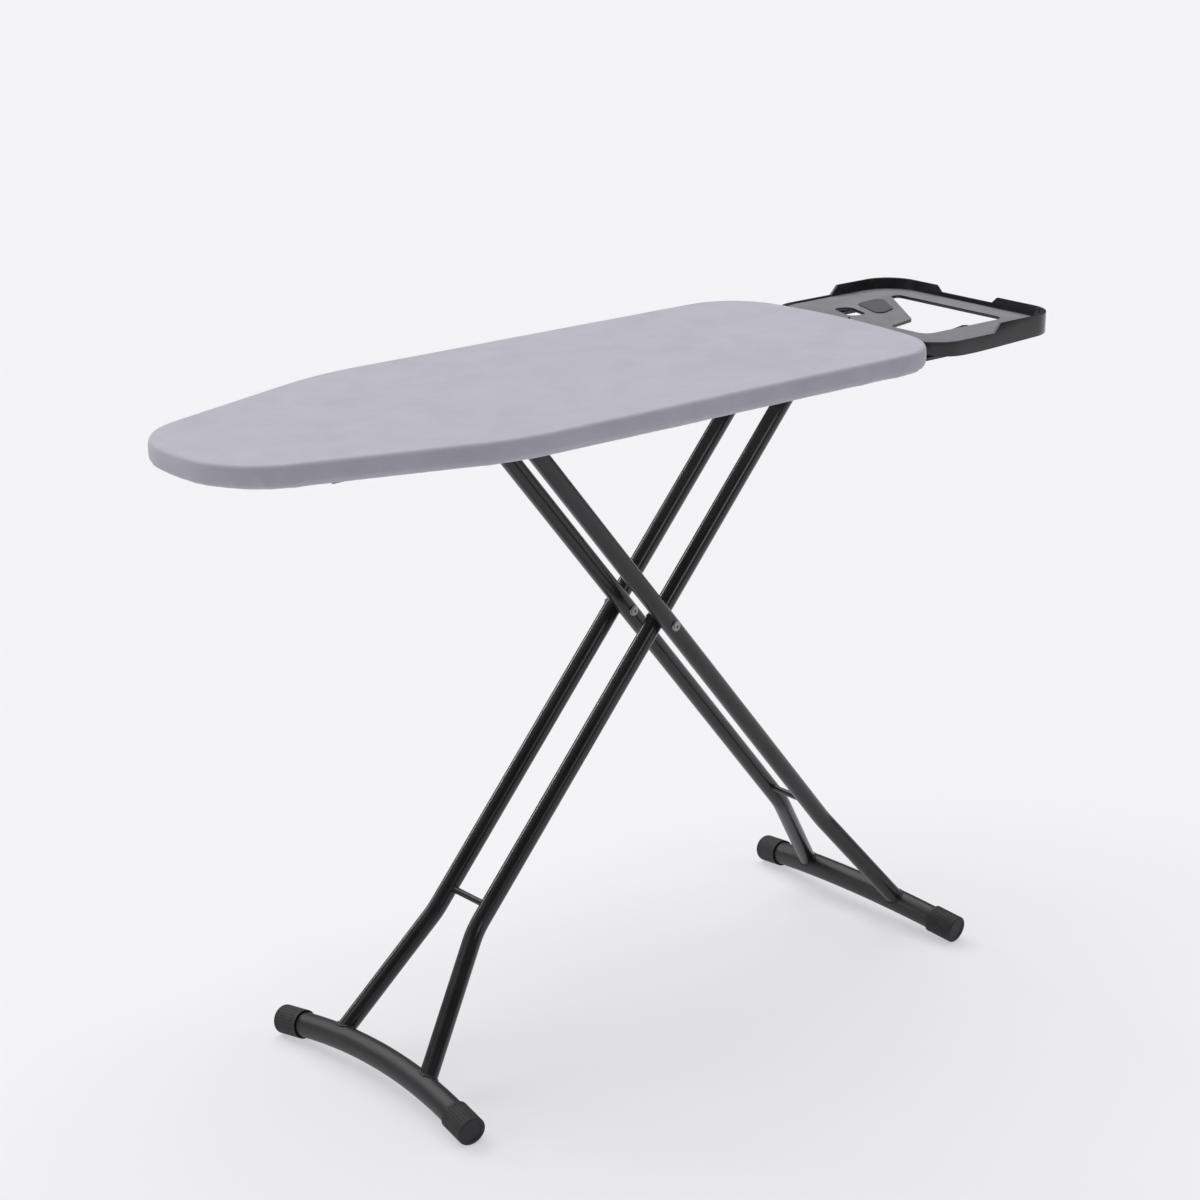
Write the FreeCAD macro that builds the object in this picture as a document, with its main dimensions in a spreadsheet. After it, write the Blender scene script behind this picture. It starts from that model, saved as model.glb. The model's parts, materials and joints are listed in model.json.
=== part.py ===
import math
import os

import FreeCAD
import Part
import Sketcher
from FreeCAD import Placement, Rotation, Vector

# Folding ironing board, millimetres, +Z up, +X from the nose to the iron rest.
# The origin is under the middle of the whole object, on the floor.
# "right" is the -Y side and "left" the +Y side, as seen from the nose.

SIZES = [
    ("total_length", 1208.0, "nose to the far edge of the iron rest"),
    ("deck_length", 979.0, "nose to tail of the padded deck"),
    ("deck_half_width", 188.0, "half of the deck's widest width"),
    ("deck_height", 800.0, "top of the cover above the floor"),
    ("tip_radius", 300.0, "flat round of the nose tip in plan"),
    ("nose_radius", 100.0, "round on each side of the tip"),
    ("nose_offset", 18.0, "centre plane to the centre of that round"),
    ("taper_angle", 17.4, "angle of the tapering sides"),
    ("blend_radius", 330.0, "round between taper and straight side"),
    ("corner_radius", 85.0, "round of the two tail corners"),
    ("tail_radius", 700.0, "bow of the tail in plan"),
    ("skirt_depth", 26.4, "depth of the cover's side band"),
    ("cover_thick", 1.0, "cover cloth"),
    ("cover_lip", 23.0, "width of the hem turned under the deck"),
    ("cover_round", 5.0, "round of the cover's top edge"),
    ("cord_radius", 1.5, "drawstring in the hem"),
    ("pad_thick", 6.0, "foam and felt under the cover"),
    ("mesh_thick", 0.8, "perforated steel top"),
    ("frame_radius", 8.5, "deck frame tube"),
    ("frame_inset", 9.8, "outline to the frame tube's axis"),
    ("tube_wall", 1.2, "wall of every steel tube"),
    ("brace_width", 26.0, "cross brace along X"),
    ("brace_height", 13.8, "cross brace along Z"),
    ("sheet_gauge", 2.0, "rails and pivot brackets"),
    ("rail_inside", 64.0, "centre plane to the rails' inner faces"),
    ("rail_depth", 24.5, "rail web, top to bottom"),
    ("rail_flange", 12.0, "rail flange, turned outwards"),
    ("rail_slant", 16.0, "slanted lower corners of rails and brackets"),
    ("pivot_x", 37.0, "leg crossing, from the origin"),
    ("pivot_height", 488.0, "leg crossing above the floor"),
    ("axle_height", 764.0, "both top axles above the floor"),
    ("front_angle", 48.94, "slope of the front leg"),
    ("rear_angle", 50.43, "slope of the rear leg"),
    ("fold_left_over", 1.6, "slope that the front leg keeps when folded"),
    ("leg_radius", 11.0, "leg tubes"),
    ("pair_spacing", 75.5, "between the two tubes of one leg"),
    ("pair_offset", 12.0, "half the offset between the two pairs"),
    ("weld_half", 83.0, "centre plane to the welds on a foot"),
    ("bend_radius", 90.0, "bend at the bottom of a leg tube"),
    ("bend_height", 167.0, "height of the bends above the floor"),
    ("axle_radius", 5.0, "both top axles"),
    ("tube_end", 8.0, "leg tube past its axle"),
    ("running_gap", 0.05, "radial clearance of turning fits"),
    ("rivet_radius", 3.0, "crossing rivets"),
    ("crossbar_radius", 4.0, "rods between the leg tubes"),
    ("front_crossbar_height", 191.0, "above the floor"),
    ("rear_crossbar_height", 195.0, "above the floor"),
    ("foot_radius", 15.0, "foot tubes"),
    ("foot_arc", 800.0, "arch of the foot tubes"),
    ("foot_arc_half", 140.0, "half of the arched length"),
    ("front_foot_half", 186.0, "centre plane to the cap's end"),
    ("rear_foot_half", 180.0, "centre plane to the cap's end"),
    ("cap_radius", 17.5, "foot caps"),
    ("cap_length", 38.0, "foot caps"),
    ("cap_round", 2.5, "round of the cap's outer edge"),
    ("rest_half_width", 147.0, "iron rest"),
    ("rest_bottom", 770.0, "lowest edge of the rest"),
    ("rest_end_rise", 5.0, "the skirt's lower edge rises by this at the end"),
    ("rest_floor", 786.5, "top of the rest's floor"),
    ("rest_rim", 788.5, "low rim of the rest"),
    ("rest_guard", 800.0, "raised corner guards of the rest"),
    ("rest_gap", 0.7, "deck tail to rest"),
    ("right_bar_y", 115.0, "centre plane to the rest's right support bar"),
    ("left_bar_y", 132.0, "centre plane to the left one, clear of the vent hole"),
    ("lock_pin_x", -102.0, "hinge of the height lock"),
    ("lock_pin_z", 763.5, "hinge of the height lock"),
    ("lock_y", 69.5, "centre plane to the lock plate, left side"),
]

doc = FreeCAD.newDocument("ironing_board")
sheet = doc.addObject("Spreadsheet::Sheet", "sizes")
for row, (alias, value, note) in enumerate(SIZES, start=1):
    sheet.set(f"A{row}", alias)
    sheet.set(f"B{row}", str(value))
    sheet.set(f"C{row}", note)
    sheet.setAlias(f"B{row}", alias)
doc.recompute()


def size(alias):
    """Read one driving dimension."""
    return float(sheet.get(alias))


# ---------------------------------------------------------------- derived places
NOSE_X = -size("total_length") / 2
TAIL_X = NOSE_X + size("deck_length")
REST_END_X = size("total_length") / 2
MESH_TOP = size("deck_height") - size("cover_thick") - size("pad_thick")
MESH_BOTTOM = MESH_TOP - size("mesh_thick")
FRAME_AXIS_Z = MESH_BOTTOM - size("frame_radius")
SKIRT_BOTTOM = size("deck_height") - size("skirt_depth")
BRACE_BOTTOM = MESH_BOTTOM - size("brace_height")
RAIL_BOTTOM = BRACE_BOTTOM - size("rail_depth")
CROSSING = Vector(size("pivot_x"), 0, size("pivot_height"))
AXLE_RISE = size("axle_height") - size("pivot_height")
RIGHT, LEFT = -1, 1
SIDE_NAMES = {RIGHT: "right", LEFT: "left"}


class Leg:
    """Places of one leg in its own flat frame.

    The leg lies in its local XY plane: x runs from the crossing towards the foot
    and y across. Placing the frame at the crossing gives the leg its slope.
    """

    def __init__(self, name, angle, offset, foot_half, turn):
        self.name = name
        self.angle = math.radians(angle)
        self.placement = Placement(CROSSING, Rotation(Vector(0, 1, 0), turn))
        half = size("pair_spacing") / 2
        self.tube_y = {RIGHT: offset - half, LEFT: offset + half}
        self.axle_x = -AXLE_RISE / math.sin(self.angle)
        self.bend_x = self.along(size("bend_height"))
        self.foot_half = foot_half
        self.end_slope = math.asin(size("foot_arc_half") / size("foot_arc"))
        self.foot_end_y = foot_half - size("cap_radius") * math.sin(self.end_slope)
        self.foot_x = self.foot_middle()

    def along(self, height):
        """Distance from the crossing to the point of the leg at this height."""
        return (size("pivot_height") - height) / math.sin(self.angle)

    def foot_middle(self):
        """Middle of the arched foot, set so that both caps touch the floor."""
        dip = math.asin(math.sin(self.end_slope) * math.sin(self.angle))
        back = size("cap_round")
        lowest = size("cap_radius") * math.cos(dip) - back * math.sin(dip)
        end_x = self.along(lowest)
        return end_x - self.arch_drop(self.foot_end_y)

    def arch_drop(self, y):
        """How far the foot's axis runs past its middle at this y."""
        arc = size("foot_arc")
        reach = size("foot_arc_half")
        if abs(y) <= reach:
            return arc - math.sqrt(arc * arc - y * y)
        straight = (abs(y) - reach) * math.tan(self.end_slope)
        return arc - arc * math.cos(self.end_slope) + straight

    def place(self, local=Placement()):
        """World placement of a piece given in the leg's frame."""
        return self.placement.multiply(local)


FRONT = Leg("front", size("front_angle"), size("pair_offset"),
            size("front_foot_half"), 180 - size("front_angle"))
REAR = Leg("rear", size("rear_angle"), -size("pair_offset"),
           size("rear_foot_half"), size("rear_angle"))
FRONT_AXLE = FRONT.place().multVec(Vector(FRONT.axle_x, 0, 0))
REAR_AXLE = REAR.place().multVec(Vector(REAR.axle_x, 0, 0))


def slide_travel():
    """How far the rear leg's axle slides towards the nose when the board folds."""
    left = math.radians(size("fold_left_over"))
    front_arm = abs(FRONT.axle_x)
    rear_arm = abs(REAR.axle_x)
    rear_left = math.asin(front_arm * math.sin(left) / rear_arm)
    folded = front_arm * math.cos(left) + rear_arm * math.cos(rear_left)
    return folded - (FRONT_AXLE.x - REAR_AXLE.x)


SLIDE = slide_travel()


# ---------------------------------------------------------------- modelling helpers
def new_body(name):
    """Start one sub-part as a PartDesign body."""
    body = doc.addObject("PartDesign::Body", name)
    body.Label = name
    return body


def bind(obj, prop, formula):
    """Drive a property from the sheet; names in the formula are sheet aliases."""
    for alias, _, _ in sorted(SIZES, key=lambda item: -len(item[0])):
        formula = formula.replace("$" + alias, "sizes." + alias)
    obj.setExpression(prop, formula)


def sketch_on(body, role, name, offset=0.0, shift=(0.0, 0.0), turn=0.0):
    """Sketch on one of the body's own origin planes, moved along its normal."""
    support = next(f for f in body.Origin.OriginFeatures if f.Role == role)
    sketch = body.newObject("Sketcher::SketchObject", name)
    sketch.AttachmentSupport = [(support, "")]
    sketch.MapMode = "FlatFace"
    place = Vector(shift[0], shift[1], offset)
    sketch.AttachmentOffset = Placement(place, Rotation(Vector(0, 1, 0), turn))
    return sketch


def add_loop(sketch, geometry):
    """Add a closed or open run of lines and arcs to a sketch."""
    for item in geometry:
        sketch.addGeometry(item, False)


def add_circle(sketch, centre, formula, value):
    """Add a circle whose radius is driven by the sheet."""
    centre = Vector(centre[0], centre[1], 0)
    index = sketch.addGeometry(Part.Circle(centre, Vector(0, 0, 1), value), False)
    datum = sketch.addConstraint(Sketcher.Constraint("Radius", index, value))
    sketch.renameConstraint(datum, f"radius_{index}")
    bind(sketch, f"Constraints.radius_{index}", formula)
    return index


def pad(body, sketch, length, both_ways=False, formula=None, down=False):
    """Pad a sketch along its normal."""
    feature = body.newObject("PartDesign::Pad", sketch.Name + "_pad")
    feature.Profile = sketch
    feature.Length = length
    feature.Midplane = both_ways
    feature.Reversed = down
    if formula:
        bind(feature, "Length", formula)
    return feature


def pocket(body, sketch, length=None, down=True):
    """Cut a sketch against its normal, or right through both ways."""
    before = body.Shape.Volume
    feature = body.newObject("PartDesign::Pocket", sketch.Name + "_cut")
    feature.Profile = sketch
    if length is None:
        feature.Type = "ThroughAll"
        feature.Midplane = True
    else:
        feature.Length = length
        feature.Reversed = not down
    doc.recompute()
    if not body.Shape.Volume < before - 0.01:
        raise RuntimeError(sketch.Name + " cuts nothing")
    return feature


def polygon(points):
    """Closed loop of straight lines."""
    corners = [Vector(x, y, 0) for x, y in points]
    return [Part.LineSegment(a, b) for a, b in zip(corners, corners[1:] + corners[:1])]


def rectangle(x1, y1, x2, y2):
    return polygon([(x1, y1), (x2, y1), (x2, y2), (x1, y2)])


def rounded_polygon(points, radii, grow=0.0):
    """Closed loop with rounded corners, counter-clockwise, grown outwards."""
    corners = [Vector(x, y, 0) for x, y in points]
    count = len(corners)
    sides = []
    for a, b in zip(corners, corners[1:] + corners[:1]):
        along = (b - a).normalize()
        out = Vector(along.y, -along.x, 0) * grow
        sides.append((a + out, along))
    moved = []
    for i in range(count):
        (p, u), (q, v) = sides[i - 1], sides[i]
        t = (q - p).cross(v).z / u.cross(v).z
        moved.append(p + u * t)
    loop = []
    starts, ends = [], []
    for i, corner in enumerate(moved):
        u, v = sides[i - 1][1], sides[i][1]
        turn = math.atan2(u.cross(v).z, u.dot(v))
        radius = radii[i] + math.copysign(grow, turn)
        back = radius * math.tan(abs(turn) / 2)
        first = corner - u * back
        last = corner + v * back
        middle = (v - u).normalize() * (radius / math.cos(turn / 2) - radius)
        loop.append(Part.Arc(first, corner + middle, last))
        starts.append(first)
        ends.append(last)
    lines = [Part.LineSegment(ends[i - 1], starts[i]) for i in range(count)]
    return [item for pair in zip(lines, loop) for item in pair]


def obround(x1, x2, z_low, z_high):
    """Slot outline with round ends; x1 and x2 are the ends' centres."""
    middle = (z_low + z_high) / 2
    radius = (z_high - z_low) / 2
    return [
        Part.LineSegment(Vector(x1, z_low, 0), Vector(x2, z_low, 0)),
        Part.Arc(Vector(x2, z_low, 0), Vector(x2 + radius, middle, 0), Vector(x2, z_high, 0)),
        Part.LineSegment(Vector(x2, z_high, 0), Vector(x1, z_high, 0)),
        Part.Arc(Vector(x1, z_high, 0), Vector(x1 - radius, middle, 0), Vector(x1, z_low, 0)),
    ]


def edges_at_height(shape, height):
    """Names of the edges that lie wholly at one height."""
    names = []
    for index, edge in enumerate(shape.Edges, start=1):
        box = edge.BoundBox
        if abs(box.ZMin - height) < 0.01 and abs(box.ZMax - height) < 0.01:
            names.append(f"Edge{index}")
    return names


def fillet_at(body, base, height, radius, name):
    """Round the edges of the body that lie at one height."""
    doc.recompute()
    feature = body.newObject("PartDesign::Fillet", name)
    feature.Base = (base, edges_at_height(base.Shape, height))
    feature.Radius = radius
    return feature


def cylinder(name, radius, start, end):
    """Plain round bar between two points, as a Part primitive."""
    bar = doc.addObject("Part::Cylinder", name)
    along = end - start
    bar.Height = along.Length
    if isinstance(radius, str):
        bind(bar, "Radius", radius)
    else:
        bar.Radius = radius
    bar.Placement = Placement(start, Rotation(Vector(0, 0, 1), along))
    return bar


def combine(kind, name, pieces):
    """Part boolean of several objects: MultiFuse or MultiCommon."""
    result = doc.addObject("Part::" + kind, name)
    result.Shapes = pieces
    return result


def cut(name, base, tool):
    result = doc.addObject("Part::Cut", name)
    result.Base = base
    result.Tool = tool
    return result


def solids(name, pieces):
    """Several separate solids of one kind as one sub-part."""
    doc.recompute()
    part = doc.addObject("Part::Feature", name)
    part.Label = name
    part.Shape = Part.makeCompound([piece.Shape.copy() for piece in pieces])
    return part


def ring(name, outer, bore, start, end):
    """Washer, bush or sleeve between two points."""
    along = (end - start).normalize()
    body_bar = cylinder(name + "_bar", outer, start, end)
    bore_bar = cylinder(name + "_bore", bore, start - along, end + along)
    return cut(name, body_bar, bore_bar)


# ---------------------------------------------------------------- deck outline
def on_arc(x, y, radius, angle):
    """Point of a circle in plan."""
    return Vector(x + radius * math.cos(angle), y + radius * math.sin(angle), 0)


def deck_outline(inset):
    """The deck's plan outline, moved inwards; runs counter-clockwise.

    Each half is a chain of tangent rounds and straights: side, blend, taper,
    nose round and tip. The rounds keep their centres when the outline moves in.
    """
    slope = math.radians(size("taper_angle"))
    corner_y = size("deck_half_width") - size("corner_radius")
    blend_y = size("deck_half_width") - size("blend_radius")
    tip_x = NOSE_X + size("tip_radius")
    nose_y = size("nose_offset")
    nose_x = tip_x - math.sqrt((size("tip_radius") - size("nose_radius")) ** 2 - nose_y ** 2)
    tail_x = TAIL_X - size("tail_radius")
    tail_reach = size("tail_radius") - size("corner_radius")
    corner_x = tail_x + math.sqrt(tail_reach ** 2 - corner_y ** 2)
    nose = size("nose_radius") - inset
    blend = size("blend_radius") - inset
    corner = size("corner_radius") - inset
    half = size("deck_half_width") - inset

    side_angle = math.pi / 2
    taper_angle = side_angle + slope
    tip_angle = math.atan2(nose_y, nose_x - tip_x)
    tail_angle = math.atan2(corner_y, corner_x - tail_x)
    nose_end = on_arc(nose_x, nose_y, nose, taper_angle)
    rise = blend_y + blend * math.sin(taper_angle) - nose_end.y
    blend_x = nose_end.x + rise / math.tan(slope) - blend * math.cos(taper_angle)
    blend_start = on_arc(blend_x, blend_y, blend, taper_angle)
    blend_middle = on_arc(blend_x, blend_y, blend, side_angle + slope / 2)
    side_end = Vector(blend_x, half, 0)
    side_start = Vector(corner_x, half, 0)
    tail_join = on_arc(corner_x, corner_y, corner, tail_angle)
    corner_middle = on_arc(corner_x, corner_y, corner, (tail_angle + side_angle) / 2)
    nose_join = on_arc(nose_x, nose_y, nose, tip_angle)
    nose_middle = on_arc(nose_x, nose_y, nose, (taper_angle + tip_angle) / 2)

    upper = [
        (side_start, side_end),
        (side_end, blend_middle, blend_start),
        (blend_start, nose_end),
        (nose_end, nose_middle, nose_join),
    ]
    corner_run = (tail_join, corner_middle, side_start)
    tip = (nose_join, Vector(NOSE_X + inset, 0, 0), mirrored(nose_join))
    tail = (mirrored(tail_join), Vector(TAIL_X - inset, 0, 0), tail_join)
    lower = [tuple(mirrored(p) for p in reversed(run)) for run in reversed(upper)]
    lower_corner = tuple(mirrored(p) for p in reversed(corner_run))
    chain = upper + [tip] + lower + [lower_corner, tail, corner_run]
    return [line_or_arc(run) for run in chain]


def mirrored(point):
    """The same point on the other side of the centre plane."""
    return Vector(point.x, -point.y, point.z)


def line_or_arc(points):
    """Line through two points or arc through three."""
    if len(points) == 2:
        return Part.LineSegment(*points)
    return Part.Arc(*points)


def deck_half_width(x, inset):
    """Half-width of the deck at one x, inside the inset outline."""
    wire = Part.Wire([item.toShape() for item in deck_outline(inset)])
    line = Part.makeLine(Vector(x, 0, 0), Vector(x, 1000, 0))
    return wire.distToShape(line)[1][0][0].y


# ---------------------------------------------------------------- deck
def deck_block(name, inset, low, high, round_edge=0.0):
    """Solid with the deck's outline, its top edge rounded."""
    body = new_body(name)
    sketch = sketch_on(body, "XY_Plane", name + "_outline", low)
    add_loop(sketch, deck_outline(inset))
    block = pad(body, sketch, high - low)
    if round_edge:
        fillet_at(body, block, high, round_edge, name + "_edge")
    return body


def make_cover():
    """Cloth cover: top sheet, side band and a hem turned under the edge."""
    top, thick = size("deck_height"), size("cover_thick")
    edge = size("cover_round")
    outside = deck_block("cover_outside", 0, SKIRT_BOTTOM, top, edge)
    inside = deck_block("cover_inside", thick, SKIRT_BOTTOM + thick, top - thick, edge - thick)
    mouth = deck_block("cover_mouth", size("cover_lip"), SKIRT_BOTTOM - 1, SKIRT_BOTTOM + 2)
    hollow = combine("MultiFuse", "cover_hollow", [inside, mouth])
    cover = cut("cover_shell", outside, hollow)
    cover.Label = "cover"


def make_cover_cord():
    """Drawstring that pulls the hem in under the deck."""
    inset = size("cover_lip") + size("cord_radius")
    height = SKIRT_BOTTOM + size("cover_thick") / 2
    make_loop_pipe("cover_cord", inset, height, "$cord_radius")


def make_pad():
    """Foam pad between the steel top and the cover."""
    gap = 0.05
    thick = size("cover_thick")
    top = size("deck_height") - thick - gap
    deck_block("foam_pad", thick + gap, MESH_TOP, top, size("cover_round") - thick - gap)


def make_mesh_top():
    """Steel top with rows of vent slots."""
    body = new_body("steel_top")
    sketch = sketch_on(body, "XY_Plane", "top_outline", MESH_BOTTOM)
    add_loop(sketch, deck_outline(2.5))
    slot_half, slot_width, pitch_x, pitch_y = 18.0, 9.0, 62.0, 36.0
    rows = 9
    columns = 14
    for row in range(rows):
        y = (row - (rows - 1) / 2) * pitch_y
        for column in range(columns):
            x = NOSE_X + 70 + (column + 0.5 * (row % 2)) * pitch_x
            reach = abs(y) + slot_width / 2
            ends = (x - slot_half - slot_width, x + slot_half + slot_width)
            if min(deck_half_width(end, 24) for end in ends) > reach:
                slot = obround(x - slot_half, x + slot_half, y - slot_width / 2, y + slot_width / 2)
                add_loop(sketch, slot)
    pad(body, sketch, size("mesh_thick"), formula="$mesh_thick")


def make_loop_pipe(name, inset, height, radius):
    """Round bar that follows the deck's outline; the radius is a formula."""
    body = new_body(name)
    outline = deck_outline(inset)
    path = sketch_on(body, "XY_Plane", name + "_path", height)
    add_loop(path, outline)
    start = outline[0].StartPoint
    profile = sketch_on(body, "YZ_Plane", name + "_profile", start.x)
    add_circle(profile, (start.y, height), radius, size(radius[1:].split()[0]))
    pipe = body.newObject("PartDesign::AdditivePipe", name + "_pipe")
    pipe.Profile = profile
    pipe.Spine = (path, [])
    return body


def make_deck_frame():
    """Steel tube bent round under the edge of the steel top."""
    inset = size("frame_inset")
    outside = make_loop_pipe("frame_outside", inset, FRAME_AXIS_Z, "$frame_radius")
    bore = make_loop_pipe("frame_bore", inset, FRAME_AXIS_Z, "$frame_radius - $tube_wall")
    frame = cut("frame_tube", outside, bore)
    frame.Label = "deck_frame"


def make_brace(name, x):
    """Channel-shaped cross brace, open upwards, between the frame's sides."""
    body = new_body(name)
    half = size("brace_width") / 2
    gauge = 1.5
    inset = size("frame_inset") + size("frame_radius") + 0.1
    reach = min(deck_half_width(x - half, inset), deck_half_width(x + half, inset))
    low, high = BRACE_BOTTOM, MESH_BOTTOM
    section = [(x - half, low), (x + half, low), (x + half, high), (x + half - gauge, high),
               (x + half - gauge, low + gauge), (x - half + gauge, low + gauge),
               (x - half + gauge, high), (x - half, high)]
    sketch = sketch_on(body, "XZ_Plane", name + "_section")
    add_loop(sketch, polygon(section))
    pad(body, sketch, 2 * reach, both_ways=True)
    return body


BRACES = {"brace_nose": -455.0, "brace_middle": -90.0,
          "brace_pivot": 250.0, "brace_tail": 305.0}
RAIL_RIVET_RADIUS = 2.5


def brace_holes(body, x):
    """Rivet holes where a rail or bracket hangs from a brace."""
    doc.recompute()
    sketch = sketch_on(body, "XY_Plane", body.Name + "_holes", BRACE_BOTTOM)
    for side in SIDE_NAMES:
        add_circle(sketch, (x, side * rivet_y()), str(RAIL_RIVET_RADIUS), RAIL_RIVET_RADIUS)
        if x == BRACES["brace_tail"]:
            add_circle(sketch, (x, bar_place(side)), str(BAR_HOLE), BAR_HOLE)
    pocket(body, sketch, 2, down=False)


def bar_place(side):
    """Y of one of the rest's support bars."""
    return side * size(SIDE_NAMES[side] + "_bar_y")


def rivet_y():
    """Centre plane to the rivets in the rails' flanges."""
    return size("rail_inside") + size("sheet_gauge") + size("rail_flange") / 2


def make_hanger(name, side, x1, x2, rivet_xs):
    """Angle plate that hangs from the braces, web down and flange outwards."""
    body = new_body(name)
    inside = size("rail_inside")
    gauge = size("sheet_gauge")
    web = sketch_on(body, "XZ_Plane", name + "_web", -side * (inside + gauge / 2))
    slant = size("rail_slant")
    add_loop(web, polygon([(x1, RAIL_BOTTOM + slant), (x1 + slant, RAIL_BOTTOM),
                           (x2 - slant, RAIL_BOTTOM), (x2, RAIL_BOTTOM + slant),
                           (x2, BRACE_BOTTOM), (x1, BRACE_BOTTOM)]))
    pad(body, web, gauge, both_ways=True, formula="$sheet_gauge")
    flange = sketch_on(body, "XY_Plane", name + "_flange", BRACE_BOTTOM - gauge)
    add_loop(flange, rectangle(x1, side * inside,
                               x2, side * (inside + gauge + size("rail_flange"))))
    pad(body, flange, gauge, formula="$sheet_gauge")
    doc.recompute()
    holes = sketch_on(body, "XY_Plane", name + "_rivet_holes", BRACE_BOTTOM)
    for x in rivet_xs:
        add_circle(holes, (x, side * rivet_y()), str(RAIL_RIVET_RADIUS), RAIL_RIVET_RADIUS)
    pocket(body, holes, gauge)
    return body


BUSH_RADIUS = 6.5
SLOT_PLAY_BELOW = 0.6
SLOT_PLAY_ABOVE = 2.0
SLOT_END_PLAY = 1.0


def make_guide_rail(side):
    """Rail with the long slot that the rear leg's axle slides in."""
    name = "guide_rail_" + SIDE_NAMES[side]
    x1 = BRACES["brace_nose"] - size("brace_width") / 2
    x2 = BRACES["brace_middle"] + size("brace_width") / 2
    body = make_hanger(name, side, x1, x2, (BRACES["brace_nose"], BRACES["brace_middle"]))
    slot = sketch_on(body, "XZ_Plane", name + "_slot")
    low = size("axle_height") - BUSH_RADIUS - SLOT_PLAY_BELOW
    high = size("axle_height") + BUSH_RADIUS + SLOT_PLAY_ABOVE
    add_loop(slot, obround(REAR_AXLE.x - SLIDE - SLOT_END_PLAY, REAR_AXLE.x + SLOT_END_PLAY,
                           low, high))
    pocket(body, slot)
    if side == LEFT:
        hole = sketch_on(body, "XZ_Plane", name + "_pin_hole", -size("rail_inside") - 1)
        add_circle(hole, (size("lock_pin_x"), size("lock_pin_z")), "$rivet_radius", 3)
        pocket_both(body, hole, 6)


def pocket_both(body, sketch, length):
    """Cut a sketch an equal way to both sides."""
    before = body.Shape.Volume
    feature = body.newObject("PartDesign::Pocket", sketch.Name + "_cut")
    feature.Profile = sketch
    feature.Length = length
    feature.Midplane = True
    doc.recompute()
    if not body.Shape.Volume < before - 0.01:
        raise RuntimeError(sketch.Name + " cuts nothing")


def make_pivot_bracket(side):
    """Bracket with the bearing hole of the front leg's axle."""
    name = "pivot_bracket_" + SIDE_NAMES[side]
    x1 = BRACES["brace_pivot"] - size("brace_width") / 2
    x2 = BRACES["brace_tail"] + size("brace_width") / 2
    body = make_hanger(name, side, x1, x2, (BRACES["brace_pivot"], BRACES["brace_tail"]))
    bearing = sketch_on(body, "XZ_Plane", name + "_bearing")
    add_circle(bearing, (FRONT_AXLE.x, FRONT_AXLE.z), "$axle_radius + $running_gap",
               size("axle_radius") + size("running_gap"))
    pocket(body, bearing)


def make_rail_rivets():
    """Rivets that hold the rails and brackets to the braces."""
    gauge = size("sheet_gauge")
    pieces = []
    for x in BRACES.values():
        for side in SIDE_NAMES:
            y = side * rivet_y()
            name = f"rail_rivet_{len(pieces)}"
            low = BRACE_BOTTOM - gauge
            head = cylinder(name + "_head", 4.5, Vector(x, y, low - 1.6), Vector(x, y, low))
            shank = cylinder(name + "_shank", RAIL_RIVET_RADIUS,
                             Vector(x, y, low - 1), Vector(x, y, low + 3.5))
            upset = cylinder(name + "_upset", 4.0,
                             Vector(x, y, low + 3.5), Vector(x, y, low + 5))
            pieces.append(combine("MultiFuse", name, [head, shank, upset]))
    solids("rail_rivets", pieces)


# ---------------------------------------------------------------- iron rest
REST_OPENING = [(567, -88), (567, 95), (553, 95), (474, -16), (423, -27), (423, -88)]
REST_OPENING_RADII = [14, 6, 6, 9, 9, 14]
REST_WALL = 3.5
REST_TAB = [(452, -89.5), (506, -89.5), (505, -79), (500, -77)]
REST_TAB_DROP = 1.5
REST_TAB_THICK = 2.5
REST_LIP_DEPTH = 1.5
# x, and how much of the rise the skirt's lower edge has there
REST_LOWER_EDGE = [(612, 1.0), (560, 0.74), (510, 0.42), (475, 0.18), (450, 0.06),
                   (425, 0.1), (405, 0.3), (390, 0.56), (374, 0.9)]
REST_LOW_TO = {RIGHT: 481.0, LEFT: 492.0}
BAR_SCREW_XS = (400.0, 545.0)
BAR_TOP = 769.5
BAR_THICK = 4.0
BAR_HALF_WIDTH = 10.0
BAR_HOLE = 2.0
BOSS_RADIUS = 6.0


def rest_outline(grow):
    """Plan outline of the rest, wider rounds at the deck's end."""
    x1 = TAIL_X + size("rest_gap")
    x2 = REST_END_X
    half = size("rest_half_width")
    points = [(x1, -half), (x2, -half), (x2, half), (x1, half)]
    return rounded_polygon(points, [45, 44, 44, 45], grow)


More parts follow.
